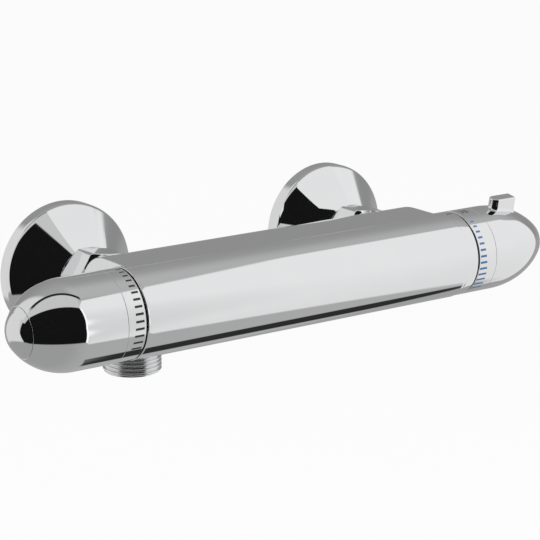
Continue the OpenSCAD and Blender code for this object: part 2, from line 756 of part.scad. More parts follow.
// Ring of stop lugs on a cartridge neck; the lugs bound the travel of the rib inside the scale ring
module stop_ring(side, low, high) color(plastic) on_side(side) {
    tube(stop_ring_r, neck_d / 2 + cartridge_gap / 2, retainer_to + running_gap, neck_to);
    for (angle = [rest_angle + low - stop_angle, rest_angle + high + stop_angle])
        stop_block(angle, stop_lug_w, stop_ring_r - overrun, stop_lug_r, stop_from, neck_to);
}

module spline_insert(side) color(brass) on_side(side) difference() {
    rod(insert_d / 2, insert_from, insert_to);
    translate([0, 0, insert_from - overrun])
        linear_extrude(spline_to + running_gap - insert_from + overrun) spline_outline(running_gap);
    rod(screw_d / 2 + cartridge_gap, insert_from, insert_to + overrun);
}

module handle_screw(side) color(steel) on_side(side) difference() {
    union() {
        rod(screw_d / 2 - running_gap, web_to - screw_len, web_to);
        rod(screw_head_d / 2, web_to, web_to + screw_head_h);
    }
    translate([0, 0, web_to + screw_head_h / 2])
        cylinder(d = screw_hex * 2 / sqrt(3), h = screw_head_h, $fn = 6);
}

module scale_ring(side) color(chrome) on_side(side) {
    tube(bar_r, inner_r, ring_from, ring_to(side));
    tube(inner_r, inner_r - handle_wall / 2, ring_to(side) - handle_wall, handle_from(side) + handle_wall);
    stop_block(rest_angle, stop_rib_w, stop_rib_r, inner_r + handle_wall / 2, stop_from,
               ring_to(side) - handle_wall / 2);
}

// Outline of a handle from the axis to its surface, the arc of the nose included
module handle_outline(side) {
    translate([0, handle_from(side)]) square([bar_r, handle_straight(side)]);
    intersection() {
        translate([bar_r - nose_arc_r(side), handle_straight_to(side)])
            circle(r = nose_arc_r(side), $fn = 180);
        translate([0, handle_straight_to(side)]) square([bar_r, nose_len(side)]);
    }
    translate([0, hub_from]) square([hub_d / 2, handle_from(side) - hub_from]);
}

module handle_solid(side) difference() {
    rotate_extrude() handle_outline(side);
    tube(inner_r + running_gap, hub_d / 2, handle_from(side) - overrun, cavity_to);
    rod(insert_d / 2 + running_gap, hub_from - overrun, insert_to);
    rod(screw_d / 2 + cartridge_gap, insert_to - overrun, web_to + overrun);
    rod(screw_head_d / 2 + fit_gap, web_to, cap_at(side));
    rod(cap_seam_r - handle_wall / 3, cap_at(side) - cap_spigot, cap_at(side) + overrun);
}

module flow_handle() color(chrome) on_side(-1) handle_solid(-1);

module fin_outline() {
    for (side = [-1, 1]) translate([side * (fin_t / 2 - fin_corner_r), -fin_corner_r]) circle(r = fin_corner_r);
    translate([fin_corner_r - fin_t / 2, -fin_len]) square([fin_t - 2 * fin_corner_r, fin_len]);
    translate([-fin_t / 2, -fin_len]) square([fin_t, fin_len - fin_corner_r]);
}

// Tab from inside the handle up to its flat top
module fin() rotate([0, 0, fin_rest_angle]) translate([0, cap_seam_r, handle_from(1) + fin_from_seam])
    rotate([-90, 0, 0]) linear_extrude(bar_r + fin_h - cap_seam_r) fin_outline();

module temperature_handle() color(chrome) on_side(1) union() {
    handle_solid(1);
    fin();
}

module end_cap(side) color(chrome) on_side(side) {
    rotate_extrude() intersection() {
        translate([0, cap_at(side) + cap_h - dome_r]) circle(r = dome_r, $fn = 180);
        translate([0, cap_at(side)]) square([cap_seam_r, cap_h]);
    }
    rod(cap_seam_r - handle_wall / 3 - cartridge_gap, cap_at(side) - cap_spigot + fit_gap,
        cap_at(side) + overrun);
}

module sleeve_ports(at) for (a = [0 : 90 : 270]) rotate([0, 0, a])
    translate([0, -port_w / 2, at]) cube([thermostat_bore_d, port_w, port_len]);

cold_port_at = cold_seat_at - port_len;
thermostat_seals_at = [hot_seat_at - seat_t * 2, (hot_seat_at + cold_seat_at) / 2, cap_bore_at - seat_t];

module thermostat_sleeve() color(brass) on_side(1) difference() {
    rod(thermostat_r, sleeve_from, cap_bore_at);
    rod(sleeve_cavity_d / 2 - seat_t / 4, spring_floor, hot_seat_at - seat_t);
    rod(mixed_d / 2 - handle_wall / 2, sleeve_from - overrun, spring_floor + overrun);
    rod(seat_bore_d / 2, hot_seat_at - seat_t - overrun, hot_seat_at + overrun);
    rod(sleeve_cavity_d / 2, hot_seat_at, land_from);
    rod(land_d / 2, land_from - overrun, land_from + land_len + overrun);
    rod(sleeve_cavity_d / 2, land_from + land_len, cap_bore_at + overrun);
    sleeve_ports(hot_seat_at);
    sleeve_ports(cold_port_at);
    for (at = thermostat_seals_at) seal_groove(thermostat_r, at);
}

module cold_seat_ring() color(brass) on_side(1)
    tube(sleeve_cavity_d / 2 - running_gap, seat_bore_d / 2, cold_seat_at, cold_ring_to);

module key_bars(width, r, from, to) for (a = [0, 180]) rotate([0, 0, a])
    translate([0, -width / 2, from]) cube([r, width, to - from]);

module thermostat_bonnet() color(brass) on_side(1) difference() {
    union() {
        rod(sleeve_cavity_d / 2 - running_gap, cold_ring_to, cap_bore_at);
        rod(cartridge_flange_d / 2, cap_bore_at, flange_to);
        rod(neck_d / 2, flange_to, neck_to);
    }
    rod(regulating_head_d / 2 + fit_gap, cold_ring_to - overrun, spindle_from);
    key_bars(key_w + 2 * fit_gap, regulating_head_d / 2 + key_h + fit_gap, cold_ring_to - overrun,
             spindle_from);
    rod(collar_d / 2 + fit_gap, spindle_from - fit_gap / 2, neck_to + overrun);
    rod(collar_d / 2 + snap_t * 3 / 4, snap_from, snap_from + snap_t + running_gap);
}

module bonnet_snap_ring() color(steel) on_side(1) difference() {
    tube(collar_d / 2 + snap_t / 2, spindle_cup_d / 2 + fit_gap * 2, snap_from, snap_from + snap_t);
    translate([0, -screw_d / 2, snap_from - overrun]) cube([collar_d, screw_d, snap_t + 2 * overrun]);
}

module shuttle() color(plastic) on_side(1) difference() {
    union() {
        tube(shuttle_r, shuttle_r - shuttle_wall, shuttle_from, shuttle_to);
        rod(shuttle_r - shuttle_wall + running_gap, web_at, web_at + web_t);
    }
    rod(guide_d / 2 + running_gap, web_at - overrun, web_at + web_t + overrun);
    for (a = [0 : 60 : 300]) rotate([0, 0, a])
        translate([(guide_d / 2 + shuttle_r - shuttle_wall) / 2, 0, 0])
            rod(guide_d / 5, web_at - overrun, web_at + web_t + overrun);
    seal_groove_small();
}

shuttle_seal_section = shuttle_wall * 0.6;
module seal_groove_small()
    tube(shuttle_r + overrun, shuttle_r - shuttle_seal_section,
         (shuttle_from + shuttle_to - shuttle_wall) / 2, (shuttle_from + shuttle_to + shuttle_wall) / 2);

module shuttle_seal() color(rubber) on_side(1) rotate_extrude()
    translate([shuttle_r - shuttle_seal_section / 2, (shuttle_from + shuttle_to) / 2])
        circle(d = shuttle_seal_section);

pin_from = web_at + web_t + fit_gap;
module wax_element() color(copper) on_side(1) difference() {
    union() {
        rod(bulb_d / 2, bulb_from, bulb_to);
        rod(bulb_flange_d / 2, bulb_to, web_at);
        rod(guide_d / 2, web_at, guide_to);
    }
    rod(pin_d / 2 + running_gap, pin_from - regulating_head_t, guide_to + overrun);
}

module wax_pin() color(steel) on_side(1) rod(pin_d / 2, pin_from, cup_from);

module return_spring() color(steel) on_side(1)
    spring(return_r, return_wire, spring_floor, bulb_to, return_turns);

module regulating_nut() color(brass) on_side(1) difference() {
    union() {
        rod(regulating_head_d / 2, head_from, head_to);
        key_bars(key_w, regulating_head_d / 2 + key_h, head_from, head_to);
        rod(regulating_d / 2, head_to, head_to + regulating_len);
    }
    rod(regulating_bore_r, head_from - overrun, head_to + regulating_len - overload_wire);
}

module overload_cup() color(brass) on_side(1)
    rod(regulating_bore_r - running_gap, cup_from, cup_from + cup_t);

module overload_spring() color(steel) on_side(1)
    spring(overload_r, overload_wire, overload_from, overload_to, overload_turns);

module temperature_spindle() color(brass) on_side(1) difference() {
    union() {
        rod(collar_d / 2, spindle_from, spindle_collar_to);
        rod(spindle_cup_d / 2, spindle_collar_to, spline_from);
        translate([0, 0, spline_from]) linear_extrude(spline_len) spline_outline(0);
    }
    rod(regulating_d / 2 + running_gap, spindle_from - overrun, spindle_bore_to);
    screw_hole(spline_to - screw_len);
    seal_groove(collar_d / 2, (spindle_from + spindle_collar_to) / 2);
}

// Seal rings in the grooves of the two cartridges
module cartridge_seals() color(rubber) {
    for (at = flow_seals_at) on_side(-1) seal_ring(flow_r, at);
    for (at = thermostat_seals_at) on_side(1) seal_ring(thermostat_r, at);
}

module spindle_seal() color(rubber) on_side(1)
    seal_ring(collar_d / 2, (spindle_from + spindle_collar_to) / 2);

body_casting();
outlet_nipple();
inlet_tail(-1);  // left_inlet_tail
inlet_tail(1);  // right_inlet_tail
union_nut(-1, nut_flat_angle + left_nut_angle);  // left_union_nut
union_nut(1, nut_flat_angle);  // right_union_nut
wall_connector(-1);  // left_wall_connector
wall_connector(1);  // right_wall_connector
wall_flange(-1);  // left_wall_flange
wall_flange(1);  // right_wall_flange
inlet_washers();
check_housing(-1);  // left_check_housing
check_housing(1);  // right_check_housing
check_poppet(-1);  // left_check_poppet
check_poppet(1);  // right_check_poppet
check_spring(-1);  // left_check_spring
check_spring(1);  // right_check_spring
flow_housing();
retaining_nut(-1);  // flow_retaining_nut
flow_disc_seal();
flow_fixed_disc();
flow_moving_disc();
flow_spindle();
flow_snap_ring();
stop_ring(-1, -flow_angle, 0);  // flow_stop_ring
spline_insert(-1);  // flow_spline_insert
handle_screw(-1);  // flow_handle_screw
scale_ring(-1);  // flow_scale_ring
flow_handle();
end_cap(-1);  // flow_end_cap
thermostat_sleeve();
thermostat_bonnet();
retaining_nut(1);  // thermostat_retaining_nut
cold_seat_ring();
bonnet_snap_ring();
shuttle();
shuttle_seal();
wax_element();
wax_pin();
return_spring();
regulating_nut();
overload_cup();
overload_spring();
temperature_spindle();
stop_ring(1, -cold_angle, hot_angle);  // temperature_stop_ring
spline_insert(1);  // temperature_spline_insert
handle_screw(1);  // temperature_handle_screw
scale_ring(1);  // temperature_scale_ring
temperature_handle();
end_cap(1);  // temperature_end_cap
cartridge_seals();
spindle_seal();
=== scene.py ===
# %% [markdown]
# # Thermostatic shower valve
# A bar valve mixes hot and cold water behind a polished brass casting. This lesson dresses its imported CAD
# model in Blender: the frame gives every solid and every joint, and here each chromed piece that
# shows gets a fine, smooth surface of its own. The two wall connectors and all pieces inside keep their
# solids.
#
# All sizes are in millimetres until a mesh is filled. X runs along the bar, Y into the wall and Z up, and
# the bar's axis lies 82.5 mm in front of the wall.

# %% Load the frame
import json

import bmesh
import bpy
import numpy as np
from mathutils import Matrix, Vector


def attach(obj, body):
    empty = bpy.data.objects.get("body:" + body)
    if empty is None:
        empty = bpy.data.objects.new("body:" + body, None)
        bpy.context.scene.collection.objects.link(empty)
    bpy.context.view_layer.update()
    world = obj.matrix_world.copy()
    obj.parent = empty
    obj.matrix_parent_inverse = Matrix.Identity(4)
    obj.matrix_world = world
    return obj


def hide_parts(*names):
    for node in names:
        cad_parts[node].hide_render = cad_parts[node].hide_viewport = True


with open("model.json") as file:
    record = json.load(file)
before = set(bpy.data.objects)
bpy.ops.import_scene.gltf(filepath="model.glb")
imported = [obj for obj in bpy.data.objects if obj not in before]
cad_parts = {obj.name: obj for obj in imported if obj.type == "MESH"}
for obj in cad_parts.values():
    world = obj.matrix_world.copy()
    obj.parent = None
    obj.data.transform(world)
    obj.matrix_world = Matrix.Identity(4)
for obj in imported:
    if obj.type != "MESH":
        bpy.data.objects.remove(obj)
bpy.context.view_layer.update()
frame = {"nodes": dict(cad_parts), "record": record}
MM = 0.001
WALL_TO_BAR = 82.5
INLET_X = 75
OUTLET_X = -77
OUTLET_BEHIND_BAR = 18

# %% [markdown]
# ## Turned profiles
# Nearly every piece of a bar valve comes off a lathe: handles, rings, caps, flanges, the outlet. In Blender
# a lathe could be the Screw modifier or a spin in bmesh. Here a profile is a list of corners in
# (station, radius) and numpy turns it, so that every later piece can also let its radius change with the
# angle, which a modifier can't do. Chrome shows each facet, so corners get true arcs and the turns are fine.

# %% Profiles and axes
NEARLY_STRAIGHT = 1.55
LONG_RUN = 1.0


def rounded(corners, radii, steps=5):
    """Profile points with an arc at each corner. The arc of radius r starts r / tan(half the corner's
    angle) before the corner and is tangent to both of its lines."""
    corners = np.array(corners, float)
    points = [corners[:1]]
    for before, corner, after, radius in zip(corners[:-2], corners[1:-1], corners[2:], radii):
        into = (before - corner) / np.linalg.norm(before - corner)
        out = (after - corner) / np.linalg.norm(after - corner)
        half = np.arccos(np.clip(into @ out, -1, 1)) / 2
        if radius == 0 or half > NEARLY_STRAIGHT:
            points.append(corner[None])
            continue
        middle = (into + out) / np.linalg.norm(into + out)
        centre = corner + middle * radius / np.sin(half)
        sweep = np.linspace(-1, 1, steps + 1)[:, None] * (np.pi / 2 - half)
        across = (out - into) / np.linalg.norm(out - into)
        points.append(centre - middle * radius * np.cos(sweep) + across * radius * np.sin(sweep))
    points.append(corners[-1:])
    return np.concatenate(points)


def bar_axis(side):
    """Axis of the bar, outward on one side (1 right, -1 left). Angle 0 faces the front, 90 degrees up."""
    return np.array([0, -WALL_TO_BAR, 0]), np.array([side, 0, 0]), np.array([0, -1, 0]), np.array([0, 0, 1])


def inlet_axis(side):
    """Axis of an inlet, from the bar's axis to the wall. Angle 0 faces right, 90 degrees up."""
    origin = np.array([INLET_X * side, -WALL_TO_BAR, 0])
    return origin, np.array([0, 1, 0]), np.array([1, 0, 0]), np.array([0, 0, 1])


OUTLET_AXIS = (np.array([OUTLET_X, OUTLET_BEHIND_BAR - WALL_TO_BAR, 0]), np.array([0, 0, -1]),
               np.array([1, 0, 0]), np.array([0, 1, 0]))


def around(count):
    """Equal angles of a full turn in radians, the first not repeated."""
    return np.arange(count) * 2 * np.pi / count


def swept(stations, radii, angles, axis):
    """Points origin + station * along + radius * (cos * first + sin * second), stations and radii being
    arrays of rows by angles."""
    origin, along, first, second = axis
    spokes = np.cos(angles)[None, :, None] * first + np.sin(angles)[None, :, None] * second
    return origin + stations[..., None] * along + radii[..., None] * spokes


def supported(profile, reach=0.05):
    """The same profile with a point close to both ends of each long run, before + (after - before) * share.
    Smooth shading then bends only in the corner arcs and leaves the runs straight."""
    before = profile[:-1]
    run = profile[1:] - before
    length = np.linalg.norm(run, axis=1)
    share = np.minimum(reach / np.maximum(length, 1e-9), 0.5)[:, None]
    points = np.stack([before, before + run * share, before + run * (1 - share)], 1)
    long = length > LONG_RUN
    kept = np.stack([np.ones_like(long), long, long], 1)
    return np.concatenate([points[kept], profile[-1:]])


def turned(profile, axis, count=180):
    """A profile of (station, radius) points turned about an axis."""
    profile = supported(profile)
    angles = around(count)
    stations = np.repeat(profile[:, :1], count, axis=1)
    radii = np.repeat(profile[:, 1:], count, axis=1)
    return swept(stations, radii, angles, axis)


print("corner arcs of a test square:", len(rounded([(0, 0), (0, 1), (1, 1), (1, 0)], [0.2, 0.2])), "points")

# %% [markdown]
# ## From grids to meshes
# A piece is one or more closed grids of points. Rows run along the profile and columns around the axis, so
# the columns always join up, and the rows join up too where the profile is a loop. Points that fall together
# at a pole are merged, and then the normals are worked out again so that all faces point outwards. Smooth
# shading with sharp edges by angle keeps the arcs soft and the faces flat.

# %% Mesh helpers
MERGE_WITHIN = 2e-6


def grid_faces(rows, columns, start, loop):
    """Corner numbers of the quads between neighbouring rows and columns of a grid."""
    row = np.arange(rows if loop else rows - 1)[:, None]
    column = np.arange(columns)[None, :]
    below = (row + 1) % rows
    beside = (column + 1) % columns
    corners = [row * columns + column, row * columns + beside, below * columns + beside,
               below * columns + column]
    return np.stack(np.broadcast_arrays(*corners), -1).reshape(-1, 4) + start


def add_piece(name, grids, body, stands_for=(), keep=None, sharp=32.0):
    """Makes one object from grids of points in mm, given as (points, whether the rows join up)."""
    points = []
    faces = []
    start = 0
    for grid, loop in grids:
        points.append(grid.reshape(-1, 3))
        faces.append(grid_faces(grid.shape[0], grid.shape[1], start, loop))
        start += points[-1].shape[0]
    points = np.concatenate(points)
    faces = np.concatenate(faces)
    if keep is not None:
        faces = faces[keep(points[faces].mean(axis=1))]
    mesh = bpy.data.meshes.new(name)
    mesh.from_pydata(points * MM, [], faces)
    shape = bmesh.new()
    shape.from_mesh(mesh)
    bmesh.ops.remove_doubles(shape, verts=shape.verts, dist=MERGE_WITHIN)
    bmesh.ops.recalc_face_normals(shape, faces=shape.faces)
    shape.to_mesh(mesh)
    shape.free()
    mesh.shade_smooth()
    mesh.set_sharp_from_angle(angle=np.radians(sharp))
    piece = bpy.data.objects.new(name, mesh)
    bpy.context.scene.collection.objects.link(piece)
    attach(piece, body)
    if stands_for:
        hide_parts(*stands_for)
    print(name, "-", len(mesh.polygons), "faces")
    return piece


# %% [markdown]
# ## The body
# The casting is one thick bar: round in front, deeper at the back, so that its section is a stadium laid
# towards the wall. Its two ends step down to short round collars beside the dials: on the right with a fine
# line in front and a soft edge behind, on the left with a long shallow run-out. It could be an extruded curve
# with a bevel, but the ends follow both shapes at once, so the surface is written as a radius from the bar's
# axis for every station and angle: the larger of the stadium, drawn in at its ends, and the collar.

# %% Section of the body
BODY_R = 20.5
BODY_DEPTH = 18.0
COLLAR_R = 20.25
SOFT_FRONT = 0.5
SOFT_BACK = 5.0
SOFT_LEFT = 0.6
RUN_OUT = 0.03
RUN_OUT_LEN = 2.4
END_AT = 92
COUNTERBORE_R = 16.5
COUNTERBORE_DEPTH = 8
FLOW_BORE = (42, 14)
THERMOSTAT_BORE = (58, 14.5)


def stadium_radius(angles, inset):
    """Distance from the bar's axis to a stadium whose two circles lie 18 mm apart: the front circle's
    radius, then the flat's r / sin, then the far circle's d * c + sqrt(r^2 - d^2 * s^2)."""
    radius = BODY_R - inset
    back = -np.cos(angles)
    up = np.abs(np.sin(angles))
    flat = radius / np.maximum(up, 1e-9)
    far = BODY_DEPTH * back + np.sqrt(np.maximum(radius**2 - (BODY_DEPTH * up) ** 2, 0))
    behind = np.where(flat * back < BODY_DEPTH, flat, far)
    return np.where(back <= 0, radius, behind)


def end_inset(inside, softness):
    """How far the soft end draws the section in, at a distance inside the end face: a quarter circle."""
    short = np.clip(softness - inside, 0, softness)
    return softness - np.sqrt(softness**2 - short**2)


def run_out(station):
    """Inset of the shallow run-out at the left end, a parabola that falls to nothing at its inner end."""
    share = np.clip((station + END_AT) / RUN_OUT_LEN, 0, 1)
    return RUN_OUT * (1 - share) ** 2


print("section, mm:", stadium_radius(np.radians([0, 90, 180]), 0.0))

# %% Surface of the body
SWELL_FROM = -90.5
SWELL_TO = 86.5
COLUMNS = 720
quarter = 1 - np.cos(np.linspace(0, np.pi / 2, 15))
left_rows = SWELL_FROM + np.concatenate([SOFT_LEFT * quarter, np.linspace(0.7, 1.0, 7)])
right_rows = SWELL_TO - np.concatenate([SOFT_FRONT * quarter, SOFT_BACK * quarter[8:]])[::-1]
middle = np.concatenate([[-89.45], np.linspace(-80, 78, 9), [SWELL_TO - SOFT_BACK - 0.05]])
swell_rows = np.concatenate([left_rows, middle, np.sort(right_rows)])
angles = around(COLUMNS)
behind = np.clip((0.05 - np.cos(angles)) / 0.2, 0, 1)
behind = (behind * behind * (3 - 2 * behind))[None, :]
along = swell_rows[:, None]
left_inset = end_inset(along - SWELL_FROM, SOFT_LEFT) * behind + run_out(along) * (1 - behind)
right_inset = end_inset(SWELL_TO - along, SOFT_FRONT + (SOFT_BACK - SOFT_FRONT) * behind)
swell = stadium_radius(angles[None, :], left_inset + right_inset)
swell = np.maximum(swell, COLLAR_R)


def end_rows(end, collar_r, bore_depth, bore_r, inward):
    """Profile of a collar's edge, the end face, the counterbore and the cartridge's bore to its floor."""
    step = end - COUNTERBORE_DEPTH * inward
    floor_at = end - bore_depth * inward
    corners = [(end - 0.4 * inward, collar_r), (end, collar_r), (end, COUNTERBORE_R), (step, COUNTERBORE_R),
               (step, bore_r), (floor_at, bore_r), (floor_at, 0)]
    return supported(rounded(corners, [0.3, 0.2, 0, 0.2, 0], 4)[1:])


left_end = end_rows(-END_AT, BODY_R - run_out(-91.65), *FLOW_BORE, -1)[::-1]
right_end = end_rows(END_AT, COLLAR_R, *THERMOSTAT_BORE, 1)
left_collar = np.linspace(-91.45, SWELL_FROM - 0.02, 7)[:, None]
right_collar = np.array([[SWELL_TO + 0.02], [SWELL_TO + 0.07]])
stations = np.concatenate([left_end[:, 0], left_collar[:, 0], swell_rows, right_collar[:, 0],
                           right_end[:, 0]])
radii = np.concatenate([np.repeat(left_end[:, 1:], COLUMNS, 1),
                        np.repeat(BODY_R - run_out(left_collar), COLUMNS, 1), swell,
                        np.full((2, COLUMNS), COLLAR_R), np.repeat(right_end[:, 1:], COLUMNS, 1)])
bar_skin = swept(np.repeat(stations[:, None], COLUMNS, 1), radii, angles, bar_axis(1))
print("body rows:", len(stations), "by", COLUMNS)

# %% [markdown]
# Behind the bar stand the two inlet bosses, each bored for the tail that the union nut pulls on, and below
# its left end the outlet's boss. They are cast in one with the bar. A boolean could join them, but it leaves
# long thin faces that show in chrome, so each boss is a turned cup that starts inside the bar. Under the
# outlet the bar's skin is left out inside the boss's wall, which keeps the waterway open.

# %% Bosses and the whole body
def inlet_boss(side):
    """Cup from inside the bar to the face under the nut."""
    corners = [(20, 0), (20, 13.5), (43, 13.5), (43, 10.1), (33, 10.1), (33, 7.5), (24, 7.5), (24, 0)]
    return turned(rounded(corners, [0, 0.5, 0.3, 0, 0, 0], 4), inlet_axis(side), 120)


outlet_corners = [(4, 0), (4, 14.2), (22.5, 14.2), (22.5, 9.65), (14.5, 9.65), (14.5, 6.8), (6, 6.8), (6, 0)]
outlet_boss = turned(rounded(outlet_corners, [0, 0.5, 0.2, 0, 0, 0], 4), OUTLET_AXIS, 144)


def skin_kept(middles):
    """Drops the faces of the bar's skin that lie below the axis and within the outlet boss's wall."""
    across = np.hypot(middles[:, 0] - OUTLET_AXIS[0][0], middles[:, 1] - OUTLET_AXIS[0][1])
    skin = np.abs(middles[:, 2] + BODY_R) < 1.2
    return ~(skin & (across < 12.0))


bar_body = add_piece("bar_body", [(bar_skin, False), (inlet_boss(-1), False), (inlet_boss(1), False),
                                  (outlet_boss, False)], "valve", ["body_casting"], skin_kept)

# %% [markdown]
# ## Handles and their caps
# Each handle is a bullet: a straight part as thick as the bar, then an arc that falls to a domed tip. The
# tip is a cap. The cap is a separate pressed piece that hides the screw. The handle could be a capsule with a
# scaled end, but a true arc between two given diameters reflects a room in the calm way of the real one.

# %% Handles
RING_TO = {-1: 101.4, 1: 103.4}
RING_SEAM = 0.15
STRAIGHT_LEN = {-1: 19.4, 1: 8.0}
NOSE_LEN = {-1: 22.9, 1: 30.0}
TIP_R = 9.15
TIP_H = 3.7
SEAM_PAST = {-1: 21.0, 1: 27.3}


def nose_radius(side, past):
    """Radius of a handle at a distance past its straight part: an arc that is tangent to the straight
    part and falls to the dome of the tip, of radius (length^2 + drop^2) / (2 * drop)."""
    drop = COLLAR_R - TIP_R
    arc_r = (NOSE_LEN[side] ** 2 + drop**2) / (2 * drop)
    return COLLAR_R - arc_r + np.sqrt(arc_r**2 - past**2)


def handle_profile(side):
    """Closed profile of a handle: outside with the nose's arc, cap seat, screw well, insert and cavity."""
    start = RING_TO[side] + RING_SEAM
    straight = start + STRAIGHT_LEN[side]
    seam = straight + SEAM_PAST[side]
    seam_r = nose_radius(side, SEAM_PAST[side])
    edge = rounded([(start - 0.1, 18.5), (start - 0.1, COLLAR_R), (straight, COLLAR_R)], [0.1], 4)
    past = np.linspace(0, SEAM_PAST[side], 53)[1:-1]
    nose = np.stack([straight + past, nose_radius(side, past)], -1)
    well_r = seam_r - 1.5
    lip = rounded([nose[-1], (seam, seam_r), (seam, well_r), (seam - 3, well_r)], [0.12, 0.1], 4)
    inner = [(seam - 3, well_r), (seam - 3, 4.1), (115.25, 4.1), (115.25, 2.2), (112.55, 2.2), (112.55, 7.58),
             (100.55, 7.58), (100.55, 10), (111.2, 10), (111.2, 17.63), (start - 0.1, 17.63),
             (start - 0.1, 18.5)]
    return np.concatenate([edge, nose, lip[1:-1], np.array(inner)[:-1]])


def cap_profile(side):
    """Dome of a cap from its pole, the end of the nose's arc and the spigot that holds it in the handle."""
    straight = RING_TO[side] + RING_SEAM + STRAIGHT_LEN[side]
    tip = straight + NOSE_LEN[side]
    seam = straight + SEAM_PAST[side]
    seam_r = nose_radius(side, SEAM_PAST[side])
    dome_r = (TIP_R**2 + TIP_H**2) / (2 * TIP_H)
    out = np.linspace(0, TIP_R, 40)
    dome = np.stack([tip + TIP_H - dome_r + np.sqrt(dome_r**2 - out**2), out], -1)
    past = np.linspace(NOSE_LEN[side], SEAM_PAST[side], 10)[1:-1]
    skirt = np.stack([straight + past, nose_radius(side, past)], -1)
    spigot_r = seam_r - 1.7
    rim = rounded([skirt[-1], (seam + 0.06, seam_r), (seam + 0.06, spigot_r), (seam - 2.7, spigot_r)],
                  [0.1, 0.1], 3)
    return np.concatenate([dome, skirt, rim[1:], [(seam - 2.7, 0)]])


flow_knob = add_piece("flow_knob", [(turned(handle_profile(-1), bar_axis(-1), 360), True)], "flow_control",
                      ["flow_handle"])
flow_cap = add_piece("flow_knob_cap", [(turned(cap_profile(-1), bar_axis(-1), 240), False)], "flow_control",
                     ["flow_end_cap"])
temperature_cap = add_piece("temperature_knob_cap", [(turned(cap_profile(1), bar_axis(1), 240), False)],
                            "temperature_control", ["temperature_end_cap"])

# %% [markdown]
# The right handle carries a small tab that the thumb pushes. Its foot runs into the handle in a hollow curve
# and its top edges are softly broken. The tab is a stack of outlines: a rounded rectangle whose corners grow
# with the outline's offset, each set at a height above the handle's own surface.

# %% Tab of the temperature handle
FIN_FROM = RING_TO[1] + RING_SEAM + 9.4
FIN_LEN = 13.5
FIN_HALF = 3.0
FIN_TOP = 25.4
FIN_CORNERS = [2.9, 2.9, 0.9, 0.9]
FIN_TILT = 10


def tab_outline(offset):
    """Rounded rectangle of (across, station), its four corner arcs grown by the offset and joined by
    straight runs."""
    ends = [(FIN_HALF, FIN_FROM), (-FIN_HALF, FIN_FROM), (-FIN_HALF, FIN_FROM + FIN_LEN),
            (FIN_HALF, FIN_FROM + FIN_LEN)]
    inward = [(-1, 1), (1, 1), (1, -1), (-1, -1)]
    first_angle = np.radians([0, -90, -180, -270])
    points = []
    for (across, station), (dx, ds), radius, first in zip(ends, inward, FIN_CORNERS, first_angle):
        sweep = first - np.linspace(0, np.pi / 2, 9)
        arc = np.stack([np.cos(sweep), np.sin(sweep)], -1) * max(radius + offset, 0.02)
        points.append(np.array([across + dx * radius, station + ds * radius]) + arc)
    rows = []
    for arc, after in zip(points, points[1:] + points[:1]):
        share = np.linspace(0, 1, 18)[1:-1, None]
        rows.append(arc)
        rows.append(arc[-1] * (1 - share) + after[0] * share)
    return np.concatenate(rows)


def handle_height(across, station):
    """Height of the right handle's surface above the bar's axis over a point of the outline."""
    past = np.clip(station - RING_TO[1] - RING_SEAM - STRAIGHT_LEN[1], 0, NOSE_LEN[1])
    radius = nose_radius(1, past)
    return np.sqrt(np.maximum(radius**2 - across**2, 0))


def tab_surface():
    """Rows from the middle of the top, over the broken edge, down the sides, out along the hollow foot and
    back inside the handle, turned 10 degrees to the front."""
    edge = 0.7
    foot = 1.5
    rows = []
    for share in (0.0, 0.5):
        outline = tab_outline(-edge)
        middle_point = np.array([0, FIN_FROM + FIN_LEN / 2])
        rows.append((middle_point + (outline - middle_point) * share, np.full(len(outline), FIN_TOP)))
    for sweep in np.linspace(0, np.pi / 2, 8):
        outline = tab_outline(-edge * (1 - np.sin(sweep)))
        rows.append((outline, np.full(len(outline), FIN_TOP - edge * (1 - np.cos(sweep)))))
    side = tab_outline(0.0)
    surface = handle_height(side[:, 0], side[:, 1])
    for share in np.linspace(0, 1, 6)[1:-1]:
        rows.append((side, (FIN_TOP - edge) * (1 - share) + (surface + foot) * share))
    for sweep in np.linspace(0, np.pi / 2, 12):
        outline = tab_outline(foot * (1 - np.cos(sweep)))
        surface = handle_height(outline[:, 0], outline[:, 1])
        rows.append((outline, surface + foot * (1 - np.sin(sweep)) - 0.03))
    for drop, share in ((1.2, 0.9), (3.0, 0.0)):
        outline = middle_point + (tab_outline(foot) - middle_point) * share
        rows.append((outline, np.full(len(outline), 17.0 - drop)))
    across = np.array([row[0][:, 0] for row in rows])
    station = np.array([row[0][:, 1] for row in rows])
    height = np.array([row[1] for row in rows])
    tilt = np.radians(FIN_TILT)
    front = -across * np.cos(tilt) + height * np.sin(tilt)
    up = across * np.sin(tilt) + height * np.cos(tilt)
    return np.stack([station, -WALL_TO_BAR - front, up], -1)


temperature_knob = add_piece("temperature_knob", [(turned(handle_profile(1), bar_axis(1), 360), True),
                                                  (tab_surface(), False)], "temperature_control",
                             ["temperature_handle"])

# %% [markdown]
# ## Dials
# Between the body and each handle sits a plain ring with the printed scale. It is pressed on the handle's
# spigot and carries a rib inside, which meets the stops of the cartridge. The ring's two outer edges are
# broken, and they make the thin dark lines on both sides of it.

# %% Dial rings
def dial_profile(side):
    """Closed profile of a dial ring with its thinner spigot under the handle."""
    to = RING_TO[side]
    corners = [(97, 17.55), (92.7, 17.55), (92.7, COLLAR_R), (to, COLLAR_R), (to, 17.55), (to + 2.85, 17.55),
               (to + 2.85, 16.2), (to - 2.7, 16.2), (to - 2.7, 17.55), (97, 17.55)]
    return rounded(corners, [0.15, 0.3, 0.08, 0, 0, 0, 0, 0], 4)[:-1]


